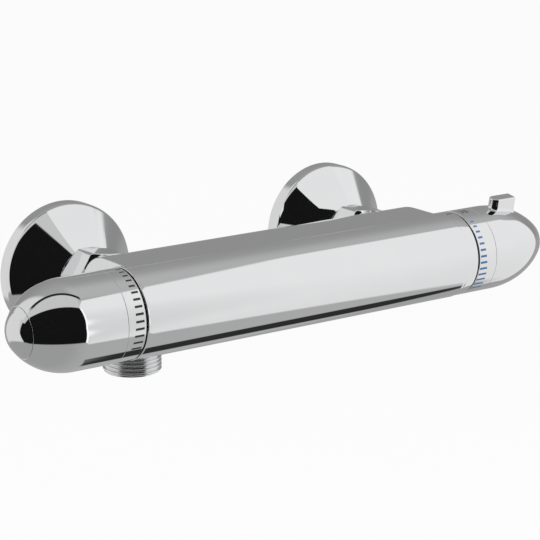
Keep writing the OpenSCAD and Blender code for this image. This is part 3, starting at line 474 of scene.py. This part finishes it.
def rib(side):
    """Block on the inside of a dial, straight down at rest, as a tube of four sides closed at both ends."""
    stations = [93, 93, RING_TO[side] - 1.35, RING_TO[side] - 1.35]
    size = [0, 1, 1, 0]
    corners = np.array([(-1, -1), (1, -1), (1, 1), (-1, 1)]) * np.array([1.5, 1.4])
    rows = []
    for station, scale in zip(stations, size):
        rows.append([(side * station, -WALL_TO_BAR + a * scale, -16.5 + b * scale) for a, b in corners])
    return np.array(rows)


flow_dial = add_piece("flow_dial", [(turned(dial_profile(-1), bar_axis(-1), 360), True), (rib(-1), False)],
                      "flow_control", ["flow_scale_ring"])
temperature_dial = add_piece("temperature_dial", [(turned(dial_profile(1), bar_axis(1), 360), True),
                                                  (rib(1), False)], "temperature_control",
                             ["temperature_scale_ring"])

# %% [markdown]
# ## Union nuts and wall flanges
# A union nut is hexagon bar with both ends turned to a cone. Cutting one with booleans leaves knife edges.
# A radius that is the softened smaller of the hexagon and the cone gives the same arcs on every flat that
# a real nut shows, with worn corners.

# %% Union nuts
NUT_FROM = 43
NUT_LEN = 14
NUT_HALF_FLATS = 15
NUT_CORNER_R = 17.32
NUT_WEAR = 0.35
NUT_CONE = 1.547


def softer_smaller(a, b, reach):
    """Smaller of two arrays, blended where they are within reach of each other."""
    share = np.clip(0.5 + (b - a) / (2 * reach), 0, 1)
    return b * (1 - share) + a * share - reach * share * (1 - share)


def union_nut(side, corner_angle):
    """Outside by hexagon and cone, inside the lip's bore and the wide bore, joined by end faces."""
    turn = around(360)
    bevel = 2
    along = np.concatenate([np.linspace(0, bevel, 17), np.linspace(bevel, NUT_LEN - bevel, 9)[1:-1],
                            np.linspace(NUT_LEN - bevel, NUT_LEN, 17)])
    sector = np.mod(turn - np.radians(corner_angle), np.pi / 3) - np.pi / 6
    flat = NUT_HALF_FLATS / np.cos(sector)
    corner = NUT_CORNER_R - NUT_WEAR
    hexagon = softer_smaller(flat, np.full_like(flat, corner), NUT_WEAR)
    cone = NUT_HALF_FLATS + np.minimum(along, NUT_LEN - along) * NUT_CONE
    outside = softer_smaller(hexagon[None, :], cone[:, None], 0.25)
    inside_profile = np.array([(14, 14.4), (14, 13.6), (13.7, 13.3), (3, 13.3), (3, 10.35), (0.2, 10.35),
                               (0, 10.55), (0, 14.4)])
    station = np.concatenate([NUT_FROM + np.repeat(along[:, None], 360, 1),
                              NUT_FROM + np.repeat(inside_profile[:, :1], 360, 1)])
    radius = np.concatenate([outside, np.repeat(inside_profile[:, 1:], 360, 1)])
    return swept(station, radius, turn, inlet_axis(side))


left_nut = add_piece("left_hexagon_nut", [(union_nut(-1, -8), True)], "left_nut", ["left_union_nut"])
right_nut = add_piece("right_hexagon_nut", [(union_nut(1, -8), True)], "right_nut", ["right_union_nut"])

# %% [markdown]
# A wall flange hides the hole in the tiles. It is pressed from thin sheet: a straight cone from the nut to a
# rounded rim, and a short side down to the wall. The same outline set inwards by the sheet's thickness makes
# its back.

# %% Wall flanges
FLANGE_R = 32.5
FLANGE_NECK_R = 15.5
RIM_R = 4.0
SIDE_FROM = 77.0
NECK_AT = 57.3
FLANGE_BORE_R = 13.3
SHEET = 1.2


def flange_profile():
    """Closed profile: front edge, cone, rim, side, wall edge and the same way back inside. The cone touches
    the rim's arc where its tilt is acos(rim / slant) - atan(across / along)."""
    across = FLANGE_R - RIM_R - FLANGE_NECK_R
    along = SIDE_FROM - NECK_AT
    tilt = np.arccos(RIM_R / np.hypot(across, along)) - np.arctan2(across, along)
    sweep = np.linspace(tilt, np.pi / 2, 22)
    arc = np.stack([-np.cos(sweep), np.sin(sweep)], -1)
    centre = np.array([SIDE_FROM, FLANGE_R - RIM_R])
    inner_face = 58.5
    chamfer_at = 82.3
    front = rounded([(inner_face, FLANGE_BORE_R), (NECK_AT, FLANGE_BORE_R), (NECK_AT, FLANGE_NECK_R),
                     centre + arc[0] * RIM_R], [0.2, 0.3], 5)
    side = [(chamfer_at, FLANGE_R), (WALL_TO_BAR, FLANGE_R - 0.2), (WALL_TO_BAR, FLANGE_R - 1.1),
            (chamfer_at, FLANGE_R - SHEET)]
    back = centre + arc[::-1] * (RIM_R - SHEET)
    corner = [(inner_face, FLANGE_NECK_R - SHEET * np.tan(tilt / 2))]
    return np.concatenate([front[:-1], centre + arc * RIM_R, side, back, corner])


left_rose = add_piece("left_spun_flange", [(turned(flange_profile(), inlet_axis(-1), 360), True)], "valve",
                      ["left_wall_flange"])
right_rose = add_piece("right_spun_flange", [(turned(flange_profile(), inlet_axis(1), 360), True)], "valve",
                       ["right_wall_flange"])

# %% [markdown]
# ## Outlet
# The hose screws on a short threaded nipple. The CAD solid has plain rings for a thread. Here the radius
# follows a true helix: the phase is the station over the pitch less the angle over a full turn, and the
# thread fades in and out over its first and last turn as a cut thread does.

# %% Threaded nipple
PITCH = 1.814
THREAD_FROM = 23.4
ROOT_R = 12.16
RIDGE_H = 0.95
NIPPLE_COLUMNS = 240


def thread_radius(station, turn):
    """Root plus a soft trapezium of the helix's phase, faded at both ends of the thread."""
    phase = np.mod((station - THREAD_FROM) / PITCH - turn / (2 * np.pi), 1.0)
    ridge = np.clip((0.5 - np.abs(phase - 0.5)) * 2 * 1.45 - 0.12, 0, 1)
    ridge = ridge * ridge * (3 - 2 * ridge)
    fade = np.clip((station - 23.55) / 1.0, 0, 1) * np.clip((32.35 - station) / 1.0, 0, 1)
    return ROOT_R + RIDGE_H * ridge * fade


def nipple():
    """Shank, shoulder, thread and the stepped bore as one closed loop of rows."""
    turn = around(NIPPLE_COLUMNS)
    station = np.linspace(23.5, 32.3, 97)
    threads = thread_radius(station[:, None], turn[None, :])
    before = rounded([(14.5, 8.5), (14.5, 9.6), (22.5, 9.6), (22.5, 13.22), (23.4, 13.22), (23.45, 12.06)],
                     [0.3, 0, 0.2, 0.15], 4)
    after = np.array([(32.47, 11.8), (32.47, 9.2), (32.3, 9.0), (23.4, 9.0), (23.4, 7.84), (14.5, 7.84)])
    rows = np.concatenate([before[:, :1], station[:, None], after[:, :1]])
    all_stations = np.repeat(rows, NIPPLE_COLUMNS, 1)
    all_radii = np.concatenate([np.repeat(before[:, 1:], NIPPLE_COLUMNS, 1), threads,
                                np.repeat(after[:, 1:], NIPPLE_COLUMNS, 1)])
    return swept(all_stations, all_radii, turn, OUTLET_AXIS)


outlet_thread = add_piece("threaded_outlet", [(nipple(), True)], "valve", ["outlet_nipple"], sharp=60)

# %% [markdown]
# ## The number on the dial
# Beside the index line the temperature dial bears its plain middle number. It is printed ink, a film of a few
# hundredths of a millimetre. A text object gives the outlines, and after it is a mesh its flat points are
# laid on the ring's cylinder: the first coordinate becomes an angle, the second a station.

# %% Printed number
def printed_number(text, size, station, angle, lift=0.03):
    """Text mesh with x and y mapped to angle and station on the dial's cylinder."""
    curve = bpy.data.curves.new("number_outline", "FONT")
    curve.body = text
    curve.size = size
    curve.align_x = "CENTER"
    curve.align_y = "CENTER"
    flat = bpy.data.objects.new("number_outline", curve)
    bpy.context.scene.collection.objects.link(flat)
    shape = bmesh.new()
    shape.from_mesh(flat.to_mesh())
    bmesh.ops.triangulate(shape, faces=shape.faces)
    bmesh.ops.subdivide_edges(shape, edges=shape.edges, cuts=1)
    bmesh.ops.triangulate(shape, faces=shape.faces)
    bmesh.ops.remove_doubles(shape, verts=shape.verts, dist=1e-6)
    mesh = bpy.data.meshes.new("dial_number")
    shape.to_mesh(mesh)
    shape.free()
    bpy.data.objects.remove(flat)
    points = np.empty(len(mesh.vertices) * 3)
    mesh.vertices.foreach_get("co", points)
    points = points.reshape(-1, 3)
    radius = COLLAR_R + lift
    turn = np.radians(angle) + points[:, 1] / radius
    laid = np.stack([station + points[:, 0], -WALL_TO_BAR - radius * np.cos(turn), radius * np.sin(turn)], -1)
    mesh.vertices.foreach_set("co", (laid * MM).ravel())
    mesh.update()
    piece = bpy.data.objects.new("dial_number", mesh)
    bpy.context.scene.collection.objects.link(piece)
    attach(piece, "temperature_control")
    return piece


dial_number = printed_number("38", size=5.2, station=97.4, angle=83.5)
print("number:", len(dial_number.data.polygons), "faces")

# %% [markdown]
# ## Shader arithmetic
# Materials and the studio are sums, products and thresholds of a few coordinates. Wiring Math nodes by hand
# hides such formulas, so a small class wraps a node's output and lets Python's own operators add the nodes.

# %% Sockets as numbers
class Wire:
    """A node's output that can be added to, scaled and compared."""

    def __init__(self, sketch, socket):
        self.sketch = sketch
        self.socket = socket

    def math(self, operation, *others):
        return self.sketch.node("ShaderNodeMath", {"operation": operation}, [self, *others])

    def __add__(self, other):
        return self.math("ADD", other)

    def __radd__(self, other):
        return self.math("ADD", other)

    def __sub__(self, other):
        return self.math("SUBTRACT", other)

    def __rsub__(self, other):
        return self.sketch.node("ShaderNodeMath", {"operation": "SUBTRACT"}, [other, self])

    def __mul__(self, other):
        return self.math("MULTIPLY", other)

    def __rmul__(self, other):
        return self.math("MULTIPLY", other)

    def __truediv__(self, other):
        return self.math("DIVIDE", other)

    def over(self, edge, softness):
        """0 below an edge and 1 above it, with a smooth step of a given width."""
        settings = {"interpolation_type": "SMOOTHSTEP"}
        inputs = [self, edge - softness / 2, edge + softness / 2]
        return self.sketch.node("ShaderNodeMapRange", settings, inputs)

    def between(self, low, high, softness):
        """1 from one edge to another and 0 outside."""
        return self.over(low, softness) * (1 - self.over(high, softness))


class Sketch:
    """The node tree of one material or of the world."""

    def __init__(self, owner):
        owner.use_nodes = True
        self.tree = owner.node_tree
        self.tree.nodes.clear()

    def node(self, kind, settings=None, inputs=None, output=0):
        """Adds a node, first its settings, then the values or links of its sockets."""
        made = self.tree.nodes.new(kind)
        for name, value in (settings or {}).items():
            setattr(made, name, value)
        pairs = inputs.items() if isinstance(inputs, dict) else enumerate(inputs or [])
        for key, value in pairs:
            if isinstance(value, Wire):
                self.tree.links.new(value.socket, made.inputs[key])
            else:
                made.inputs[key].default_value = value
        if not made.outputs:
            return made
        return Wire(self, made.outputs[output])

    def blend(self, factor, low, high):
        """Colour between two colours."""
        return self.node("ShaderNodeMix", {"data_type": "RGBA"}, {0: factor, 6: low, 7: high}, 2)

    def place(self):
        """Object coordinates in metres: the three numbers and the vector that holds them."""
        coordinates = self.node("ShaderNodeTexCoord", output=3)
        parts = self.node("ShaderNodeSeparateXYZ", {}, [coordinates])
        node = parts.socket.node
        return [Wire(self, node.outputs[i]) for i in range(3)], coordinates

    def noise(self, coordinates, scale, detail=2.0, stretch=None):
        """Noise on object coordinates, drawn out along an axis where asked."""
        if stretch is not None:
            coordinates = self.node("ShaderNodeMapping", {}, {"Vector": coordinates, "Scale": stretch})
        inputs = {"Vector": coordinates, "Scale": scale, "Detail": detail}
        return self.node("ShaderNodeTexNoise", {}, inputs, 0)


print("socket wrapper ready")

# %% [markdown]
# ## Finishes
# Polished chrome is a mirror with a slight blue-grey cast. Its base colour hardly changes, but light wiping
# leaves the gloss a little uneven and a plated casting is never perfectly even, so roughness and a very
# shallow bump vary slowly over the surface. The ink of the scales is a mask on the same shader.

# %% Chrome with optional ink
INK_BLACK = (0.012, 0.012, 0.014, 1)
INK_BLUE = (0.04, 0.12, 0.27, 1)
TO_MM = 1000.0


def finish_shader(sketch, color, rough, metal, normal, extra=None):
    """Principled shader with the sockets that vary, wired to the output."""
    inputs = {"Base Color": color, "Roughness": rough, "Metallic": metal}
    if normal is not None:
        inputs["Normal"] = normal
    inputs.update(extra or {})
    shader = sketch.node("ShaderNodeBsdfPrincipled", {}, inputs)
    sketch.node("ShaderNodeOutputMaterial", {}, {"Surface": shader})


def chrome(name, ink=None, ink_color=INK_BLACK, dull=0.0):
    """Mirror chrome, or duller where plating covers a cut surface; ink is a function of the sketch and its
    x, y, z that gives the mask of the print."""
    material = bpy.data.materials.new(name)
    sketch = Sketch(material)
    (x, y, z), coordinates = sketch.place()
    cloud = sketch.noise(coordinates, 55.0)
    wipe = sketch.noise(coordinates, 340.0, 3.0, (1.0, 0.25, 0.25))
    color = sketch.blend(cloud, (0.765, 0.77, 0.78, 1), (0.79, 0.792, 0.798, 1))
    rough = 0.025 + dull + cloud * 0.018 + wipe * 0.012
    bump = sketch.node("ShaderNodeBump", {}, {"Strength": 0.04, "Distance": 0.00004, "Height": cloud})
    metal = 1.0
    if ink is not None:
        mask = ink(sketch, x, y, z)
        color = sketch.blend(mask, color, ink_color)
        rough = rough + mask * 0.4
        metal = 1 - mask
    finish_shader(sketch, color, rough, metal, bump)
    return material


# %% [markdown]
# The scales are read from the photograph: black strokes about nine degrees apart on the flow dial, longer
# towards the bottom, and blue ones on the cold side of the temperature dial. A stroke is a band of angle
# around the nearest multiple of the step, cut to a length that grows with the angle.

# %% Ink of the scales
def dial_angle(sketch, y, z):
    """Angle about the bar's axis in degrees, 0 in front and 90 on top."""
    front = -1 * (y + WALL_TO_BAR * MM)
    return sketch.node("ShaderNodeMath", {"operation": "ARCTAN2"}, [z, front]) * (180 / np.pi)


def strokes(sketch, station, angle, top, step, count, start, length):
    """Mask of printed strokes: start and length are functions of how far an angle lies below the top one,
    as a share of the whole scale."""
    below = (top - angle) / step
    nearest = below.math("ROUND")
    off = (below - nearest).math("ABSOLUTE") * step
    thin = 1 - off.over(1.5, 0.35)
    counted = nearest.over(-0.5, 0.01) * (1 - nearest.over(count - 0.5, 0.01))
    share = below / (count - 1)
    from_start = station - start(share)
    long = from_start.over(0, 0.08) * (1 - (from_start - length(share)).over(0, 0.08))
    return thin * counted * long


def flow_ink(sketch, x, y, z):
    """Fourteen black strokes from 87 degrees down to -31."""
    angle = dial_angle(sketch, y, z)
    station = x * -TO_MM
    return strokes(sketch, station, angle, 87.2, 9.1, 14, lambda s: 93.7, lambda s: 2.25 + s * 2.75)


def temperature_ink(sketch, x, y, z):
    """Thirteen blue strokes from 58 degrees down to -46."""
    angle = dial_angle(sketch, y, z)
    station = x * TO_MM
    return strokes(sketch, station, angle, 58.0, 8.65, 13, lambda s: 94.4 - s * 1.6,
                   lambda s: 2.1 + s * 1.9 + s * s * 2.5)


def index_ink(sketch, x, y, z):
    """One black line on the collar beside the temperature dial."""
    angle = dial_angle(sketch, y, z)
    return angle.between(83.2, 86.0, 0.25) * (x * TO_MM).between(87.0, 90.5, 0.08)


print("ink: 14 black strokes, 13 blue strokes, 1 index line")

# %% Dress the chromed pieces
polish = chrome("polished_chrome")
for piece in (flow_knob, flow_cap, temperature_cap, temperature_knob, left_nut, right_nut, left_rose,
              right_rose):
    piece.data.materials.append(polish)
outlet_thread.data.materials.append(chrome("plated_thread", dull=0.2))
bar_body.data.materials.append(chrome("polished_chrome_with_index", index_ink))
flow_dial.data.materials.append(chrome("flow_dial_chrome", flow_ink))
temperature_dial.data.materials.append(chrome("temperature_dial_chrome", temperature_ink, INK_BLUE))
print("chromed pieces:", 12)

# %% [markdown]
# The ink of the number is a soft black that lets a little gloss through.

# %% Ink material
def ink_material(name, color):
    """Printed ink with a faint unevenness."""
    material = bpy.data.materials.new(name)
    sketch = Sketch(material)
    coordinates = sketch.place()[1]
    grain = sketch.noise(coordinates, 2600.0)
    tone = sketch.blend(grain, color, tuple(c * 1.5 for c in color[:3]) + (1,))
    finish_shader(sketch, tone, 0.35 + grain * 0.12, 0.0, None)
    return material


dial_number.data.materials.append(ink_material("dark_ink", (0.035, 0.035, 0.04, 1)))

# %% [markdown]
# ## Pieces inside
# Brass turnings show fine rings, drawn steel a length-wise grain, moulded plastic a faint orange peel, ground
# ceramic an almost even gloss and rubber a matte skin with dust. Each finish is a short recipe of noise on
# the object's own coordinates.

# %% Finishes of the inner pieces
def inner_finish(name, low, high, metal, rough, spread, grain, stretch, depth):
    """Finish with a colour between two tones and a bump, both from one drawn-out noise."""
    material = bpy.data.materials.new(name)
    sketch = Sketch(material)
    coordinates = sketch.place()[1]
    fine = sketch.noise(coordinates, grain, 3.0, stretch)
    broad = sketch.noise(coordinates, 90.0)
    color = sketch.blend(broad, low, high)
    bump = sketch.node("ShaderNodeBump", {}, {"Strength": 0.35, "Distance": depth, "Height": fine})
    finish_shader(sketch, color, rough + fine * spread, metal, bump)
    return material


INNER = {
    "brass": inner_finish("turned_brass", (0.60, 0.42, 0.17, 1), (0.70, 0.52, 0.24, 1), 1.0, 0.2, 0.15,
                          900.0, (3.0, 0.4, 0.4), 0.00003),
    "steel": inner_finish("drawn_steel", (0.52, 0.53, 0.55, 1), (0.64, 0.65, 0.67, 1), 1.0, 0.22, 0.18,
                          1400.0, (0.3, 2.0, 2.0), 0.00002),
    "rubber": inner_finish("seal_rubber", (0.02, 0.02, 0.022, 1), (0.04, 0.04, 0.042, 1), 0.0, 0.55, 0.3,
                           1800.0, (1.0, 1.0, 1.0), 0.00004),
    "plastic": inner_finish("moulded_plastic", (0.72, 0.72, 0.69, 1), (0.80, 0.80, 0.77, 1), 0.0, 0.3, 0.2,
                            700.0, (1.0, 1.0, 1.0), 0.00003),
    "ceramic": inner_finish("ground_ceramic", (0.80, 0.79, 0.76, 1), (0.86, 0.85, 0.82, 1), 0.0, 0.12, 0.1,
                            2200.0, (1.0, 1.0, 1.0), 0.00001),
    "copper": inner_finish("drawn_copper", (0.55, 0.28, 0.16, 1), (0.66, 0.36, 0.22, 1), 1.0, 0.25, 0.15,
                           1000.0, (2.0, 0.5, 0.5), 0.00003),
}
INNER["chrome"] = polish
dressed = 0
for part in frame["record"]["subparts"]:
    solid = frame["nodes"][part["node"]]
    solid.data.materials.clear()
    solid.data.materials.append(INNER[part["material_slot"]])
    dressed += 1
print("CAD nodes dressed:", dressed)

# %% [markdown]
# ## Camera
# The photograph looks at the bar from its left end, slightly from above, with a long lens. Position,
# direction and focal length come from fitting ring edges and flange rims of the model to it.

# %% Camera
CAMERA_AT = Vector((-518.7, -791.7, 235.0)) * MM
camera_data = bpy.data.cameras.new("photo_camera")
camera_data.lens = 133.2
camera_data.sensor_width = 36.0
camera_data.clip_start = 0.05
camera_data.clip_end = 60.0
camera = bpy.data.objects.new("photo_camera", camera_data)
bpy.context.scene.collection.objects.link(camera)
right = Vector((0.8151, -0.5793, 0.0)).normalized()
ahead = Vector((0.5605, 0.7886, -0.2527)).normalized()
up = right.cross(ahead)
turn = Matrix((right, up, -ahead)).transposed().to_4x4()
camera.matrix_world = Matrix.Translation(CAMERA_AT) @ turn
bpy.context.scene.camera = camera
print("camera at", [round(v, 3) for v in camera.location])

# %% [markdown]
# ## Floor, lamps and studio
# Chrome has no look of its own: it shows the room. The studio is therefore written as a set of soft-edged
# regions of direction in the world shader, seen only by mirror rays: bright tents around the bar, a grey
# table below, dark gaps between them. The camera itself sees white, or nearly so over the floor. Soft lamps
# light what isn't metal.

# %% Floor
FLOOR_GLOW = 0.9


def add_floor(height, reach):
    """Large pale plane under the valve: nearly white to the camera, which sees a tenth of its shading."""
    corners = np.array([(-reach, -reach, height), (reach, -reach, height), (reach, reach, height),
                        (-reach, reach, height)], float)
    mesh = bpy.data.meshes.new("floor")
    mesh.from_pydata(corners, [], [(0, 1, 2, 3)])
    floor = bpy.data.objects.new("floor", mesh)
    bpy.context.scene.collection.objects.link(floor)
    material = bpy.data.materials.new("pale_floor")
    sketch = Sketch(material)
    coordinates = sketch.place()[1]
    tone = sketch.blend(sketch.noise(coordinates, 3.0), (0.86, 0.86, 0.86, 1), (0.9, 0.9, 0.9, 1))
    matte = sketch.node("ShaderNodeBsdfDiffuse", {}, {"Color": tone})
    white = sketch.node("ShaderNodeEmission", {}, {"Color": (1, 1, 1, 1), "Strength": 1.0})
    seen = sketch.node("ShaderNodeLightPath", output=0)
    both = sketch.node("ShaderNodeMixShader", {}, {0: seen * FLOOR_GLOW, 1: matte, 2: white})
    sketch.node("ShaderNodeOutputMaterial", {}, {"Surface": both})
    mesh.materials.append(material)
    floor.visible_glossy = False
    return floor


floor = add_floor(-1.0, 20.0)
print("floor at", floor.data.vertices[0].co.z)

# %% Lamps
def soft_lamp(name, place, aim, size, watts):
    """Square area lamp that mirror rays don't see."""
    lamp = bpy.data.lights.new(name, "AREA")
    lamp.shape = "SQUARE"
    lamp.size = size
    lamp.energy = watts
    holder = bpy.data.objects.new(name, lamp)
    bpy.context.scene.collection.objects.link(holder)
    holder.location = place
    holder.rotation_euler = (Vector(aim) - Vector(place)).to_track_quat("-Z", "Y").to_euler()
    holder.visible_glossy = False
    return holder


soft_lamp("tent_top", (0.0, -0.3, 1.6), (0, -0.08, 0), 1.6, 24)
soft_lamp("tent_front", (-0.9, -1.7, 0.7), (0, -0.08, 0), 1.2, 18)
print("lamps: 2")

# %% [markdown]
# Two small white cards hang just above the flanges, as a photographer sets them to brighten a cone that
# would else mirror the dark room. Only mirror rays meet them, so they show in the chrome alone, mostly in
# the flanges and as a faint thin line on top of the bar.

# %% Cards above the flanges
def card(name, left, right):
    """White rectangle above one flange, given by its left and right edges in mm. It rises towards the wall,
    which keeps its image on top of the bar thin."""
    front_edge = (-40, 44)
    wall_edge = (0, 64)
    corners = np.array([(left, *front_edge), (right, *front_edge), (right, *wall_edge),
                        (left, *wall_edge)], float)
    mesh = bpy.data.meshes.new(name)
    mesh.from_pydata(corners * MM, [], [(0, 1, 2, 3)])
    sheet = bpy.data.objects.new(name, mesh)
    bpy.context.scene.collection.objects.link(sheet)
    material = bpy.data.materials.new(name)
    sketch = Sketch(material)
    white = sketch.node("ShaderNodeEmission", {}, {"Color": (0.95, 0.95, 0.95, 1), "Strength": 1.0})
    sketch.node("ShaderNodeOutputMaterial", {}, {"Surface": white})
    mesh.materials.append(material)
    sheet.visible_camera = False
    sheet.visible_diffuse = False
    sheet.visible_transmission = False
    sheet.visible_shadow = False
    return sheet


card("left_card", -86, -12)
card("right_card", 44, 100)
print("cards: 2")

# %% [markdown]
# The regions were found by tracing the camera's rays over the shapes: each place on the smooth
# chrome mirrors one direction, and the tones there tell what stood in that direction. In front, around the
# camera, the room is black; to its right stands a long bright wall with a brighter edge; overhead hangs a
# grey screen with a thin gap behind it; the table below is grey; and towards the wall all is dim.

# %% Studio seen by mirror rays
def laid_over(level, mask, tone):
    """Brightness with another tone laid over it where the mask is 1."""
    return level * (1 - mask) + mask * tone


def studio_level(x, y, z):
    """Brightness by direction: x right, y to the wall, z up, each from -1 to 1. An edge lies where its
    expression is zero. A plain sum is a plane through the eye, and a square, a soft step or the size of z
    bends it."""
    front = -1 * y
    level = 0.31 + z.math("MAXIMUM", 0.0) * z * 0.14 + (-1 * z).over(0.05, 0.3) * 0.09
    tail = (y - 0.38 * z).over(0.0, 0.5)
    level = level + (1 - tail) * x.over(0.3, 0.2) * z.over(0.3, 0.2) * 0.12

    left_light = (-1 * x).over(0.2, 0.16) * z.over(-0.46, 0.08)
    level = laid_over(level, left_light, 0.82)

    gap = y + 0.556 * x - 0.087 * z - 0.085 + 0.6 * x * x
    right_of_screen = (x - 0.69 * z - 0.255 * y).over(0.0, 0.03)
    screen = z.over(0.05, 0.05) * (1 - gap.over(0.0, 0.02)) * (1 - right_of_screen)
    level = laid_over(level, screen, 0.41 + (0.44 - x).over(0.0, 0.2) * 0.27)

    bright = right_of_screen * (front + 0.16 * (1 - z.over(0.55, 0.3))).over(0.02, 0.06)
    bright = bright * (x + 0.83 * z).over(0.0, 0.05)
    tent = 0.82 + (x - 0.65 * front).over(0.0, 0.16) * 0.135 + z.math("MINIMUM", 0.2) * 0.1
    level = laid_over(level, bright, tent)

    height = z.math("ABSOLUTE")
    inner_edge = (x - 0.475 * front - 0.1 * height).over(0.0, 0.02)
    edge = inner_edge * (1 - (x - 0.536 * front - 0.12 * height).over(0.0, 0.008))
    edge = edge * z.over(-0.52, 0.03) * (1 - z.over(0.69, 0.03)) * front.over(0.1, 0.1)
    level = laid_over(level, edge, 1.32)

    dark = (1 - (y + 0.606 * z + 0.462 * x).over(0.0, 0.03)) * (1 - inner_edge)
    dark = dark * (front + 0.4 * z.math("MINIMUM", 0.0)).over(0.0, 0.03)
    level = laid_over(level, dark, 0.008)

    line = gap.between(-0.07, 0.06, 0.02) * z.over(0.5, 0.2) * (1 - x.over(0.465, 0.02))
    line = line * (x + 0.75 * z).over(0.0, 0.2)
    level = laid_over(level, line, 0.02)

    table = (1 - z.over(-0.51, 0.04)) * (1 - (x + 0.83 * z).over(0.0, 0.05))
    level = laid_over(level, table, 0.395 + x.math("MAXIMUM", 0.0) * 0.17)

    below = -1 * z
    slot = (y + 0.06 * below).over(0.0, 0.05) * (1 - (y - 10.8 * below + 12.9 * x).over(0.0, 0.3))
    slot = slot * (1 - (y - 0.4 * below).over(0.0, 0.06))
    slot = slot * (x - 0.53 * below).over(0.0, 0.06) * (1 - (x - 0.835 * below).over(0.0, 0.012))
    return laid_over(level, slot, 0.03)


def studio(world):
    """World that is white to the camera, plain to soft light and the studio to mirror rays."""
    sketch = Sketch(world)
    direction = sketch.node("ShaderNodeTexCoord", output=0)
    node = sketch.node("ShaderNodeSeparateXYZ", {}, [direction]).socket.node
    x, y, z = [Wire(sketch, node.outputs[i]) for i in range(3)]
    level = studio_level(x, y, z)
    light_path = sketch.node("ShaderNodeLightPath").socket.node
    camera_ray = Wire(sketch, light_path.outputs["Is Camera Ray"])
    glossy_ray = Wire(sketch, light_path.outputs["Is Glossy Ray"])
    base = 0.72 + camera_ray * 0.28
    seen = base * (1 - glossy_ray) + level * glossy_ray
    color = sketch.node("ShaderNodeCombineColor", {}, [seen, seen, seen])
    background = sketch.node("ShaderNodeBackground", {}, {"Color": color, "Strength": 1.0})
    sketch.node("ShaderNodeOutputWorld", {}, {"Surface": background})
    return len(sketch.tree.nodes)


world = bpy.data.worlds.new("studio")
bpy.context.scene.world = world
print("studio nodes:", studio(world))
bpy.context.scene.view_settings.view_transform = "Standard"
